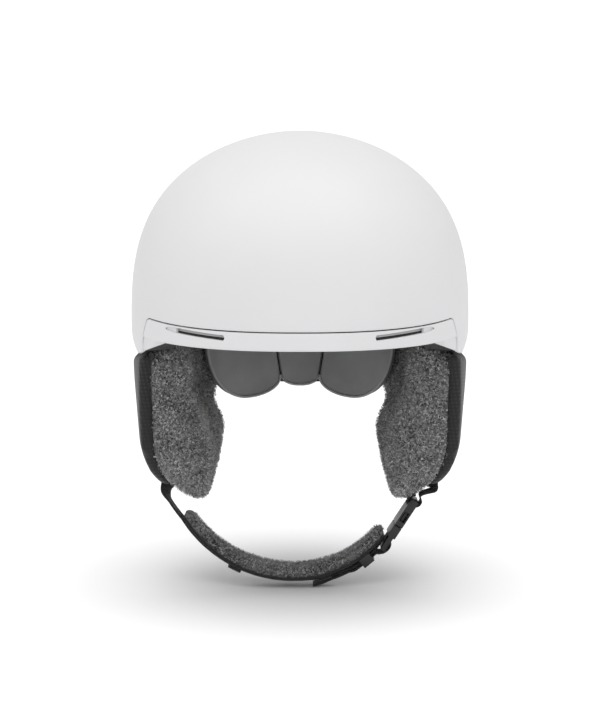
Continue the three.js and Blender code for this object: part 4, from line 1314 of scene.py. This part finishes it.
def bevelled(node, material, width, slot, angle=25):
    """The CAD piece with its edges rounded."""
    mesh = frame["nodes"][node].data.copy()
    piece = bpy.data.objects.new(f"{node}_finish", mesh)
    bpy.context.scene.collection.objects.link(piece)
    work = bmesh.new()
    work.from_mesh(mesh)
    bmesh.ops.remove_doubles(work, verts=work.verts, dist=1e-6)
    bmesh.ops.dissolve_limit(work, angle_limit=math.radians(1.5), verts=work.verts, edges=work.edges)
    work.to_mesh(mesh)
    work.free()
    mesh.materials.clear()
    mesh.materials.append(material)
    bevel = piece.modifiers.new("round", "BEVEL")
    bevel.width = width * MM
    bevel.segments = 3
    bevel.limit_method = "ANGLE"
    bevel.angle_limit = math.radians(angle)
    bevel.use_clamp_overlap = True
    bake(piece)
    smooth_by_angle(piece, 40)
    return place(piece, body_of_node(node), node, slot=slot)


HARD_PARTS = (
    ("buckle_socket", 0.5), ("buckle_plug", 0.45), ("release_tab_front", 0.5), ("release_tab_rear", 0.5),
    ("strap_slider", 0.4), ("dial_housing", 0.8), ("dial_cover", 0.5), ("dial_knob", 0.4),
    ("dial_pinion", 0.15), ("rack_left", 0.15), ("rack_right", 0.15), ("headband_left", 0.4),
    ("headband_right", 0.4), ("temple_pin_left", 0.3), ("temple_pin_right", 0.3), ("goggle_clip_base", 0.5),
    ("goggle_clip", 0.5),
)
STEEL_PARTS = (("dial_screw", 0.2), ("goggle_clip_pin", 0.15))


def hard_parts():
    for node, width in HARD_PARTS:
        bevelled(node, BLACK_PLASTIC, width, "plastic")
    for node, width in STEEL_PARTS:
        bevelled(node, PLAIN_STEEL, width, "steel")


def hidden_straps():
    """Webbing and anchors inside the ear pads keep their CAD shape."""
    for name, _ in SIDES:
        for end in ("front", "rear"):
            looks = ((f"strap_{end}_{name}", ELASTIC), (f"strap_anchor_{end}_{name}", BLACK_PLASTIC))
            for node, material in looks:
                frame["nodes"][node].material_slots[0].material = material


# ---------------------------------------------------------------- studio
CAMERA_DISTANCE = 1.6
CAMERA_ELEVATION = 6.8
FRAME_WIDTH_AT_CENTRE = 0.3925
BRIM_ABOVE_MIDDLE = 2.7026


def camera():
    """From the front and a little above; the brim's front edge is just above the middle of the view."""
    data = bpy.data.cameras.new("camera")
    data.sensor_fit = "HORIZONTAL"
    data.sensor_width = 36
    data.lens = 36 * CAMERA_DISTANCE / FRAME_WIDTH_AT_CENTRE
    data.clip_end = 100
    obj = bpy.data.objects.new("camera", data)
    elevation = math.radians(CAMERA_ELEVATION)
    away = Vector((0, -math.cos(elevation), math.sin(elevation)))
    up = Vector((0, math.sin(elevation), math.cos(elevation)))
    brim_front = Vector((0, -SHELL_FRONT * MM, 0))
    aim = up * (brim_front.dot(up) - BRIM_ABOVE_MIDDLE * MM)
    obj.location = aim + away * CAMERA_DISTANCE
    obj.rotation_euler = (math.pi / 2 - elevation, 0, 0)
    bpy.context.scene.collection.objects.link(obj)
    bpy.context.scene.camera = obj


def sun(name, strength, elevation, azimuth, angle):
    """Distant soft light; azimuth 0 comes from the front."""
    data = bpy.data.lights.new(name, "SUN")
    data.energy = strength
    data.angle = math.radians(angle)
    obj = bpy.data.objects.new(name, data)
    obj.rotation_euler = (math.radians(90 - elevation), 0, math.radians(azimuth))
    bpy.context.scene.collection.objects.link(obj)


def world():
    """White surroundings; they light the object more softly than they show."""
    scene_world = bpy.data.worlds.new("studio")
    scene_world.use_nodes = True
    tree = scene_world.node_tree
    background = tree.nodes["Background"]
    background.inputs["Color"].default_value = (1, 1, 1, 1)
    path = tree.nodes.new("ShaderNodeLightPath")
    strength = tree.nodes.new("ShaderNodeMapRange")
    strength.inputs["To Min"].default_value = 0.8
    strength.inputs["To Max"].default_value = 1.02
    tree.links.new(path.outputs["Is Camera Ray"], strength.inputs["Value"])
    tree.links.new(strength.outputs["Result"], background.inputs["Strength"])
    bpy.context.scene.world = scene_world


FLOOR_HALF = 12.0
FLOOR_DROP = 0.0016


def floor():
    height = cad_bounds[0][2] - FLOOR_DROP
    ends = np.linspace(-FLOOR_HALF, FLOOR_HALF, 9) / MM
    points = [(x, y, height / MM) for y in ends for x in ends]
    plane = make_object("studio_floor", points, ring_faces(9, 9), FLOOR_PAINT)


def studio():
    scene = bpy.context.scene
    scene.view_settings.view_transform = "Standard"
    scene.view_settings.look = "None"
    camera()
    world()
    sun("top_light", 1.5, 80, 0, 60)
    sun("front_light", 0.36, 20, 0, 80)
    floor()


outer_shell()
brim()
liner()
crown_pad()
liner_pad("brow_cushion", "brow_pad", (-44, 44), (6.5, 33.5), 60)
for side_name, side_sign in SIDES:
    brim_vent(side_name, side_sign)
    shell_return(side_name, side_sign)
    cushion_bearings = (side_sign * 69, side_sign * 111)
    liner_pad(
        f"side_cushion_{side_name}", f"side_pad_{side_name}", cushion_bearings, (24.5, 61.5), 30
    )
    ear_cover(side_name, side_sign)
    ear_fleece(side_name, side_sign)
cradle_plate()
cradle_pads()
chin_pad()
chin_webbing()
for keeper_name, keeper_angle in KEEPERS:
    keeper(keeper_name, keeper_angle)
strap_left()
strap_right()
hard_parts()
hidden_straps()
studio()
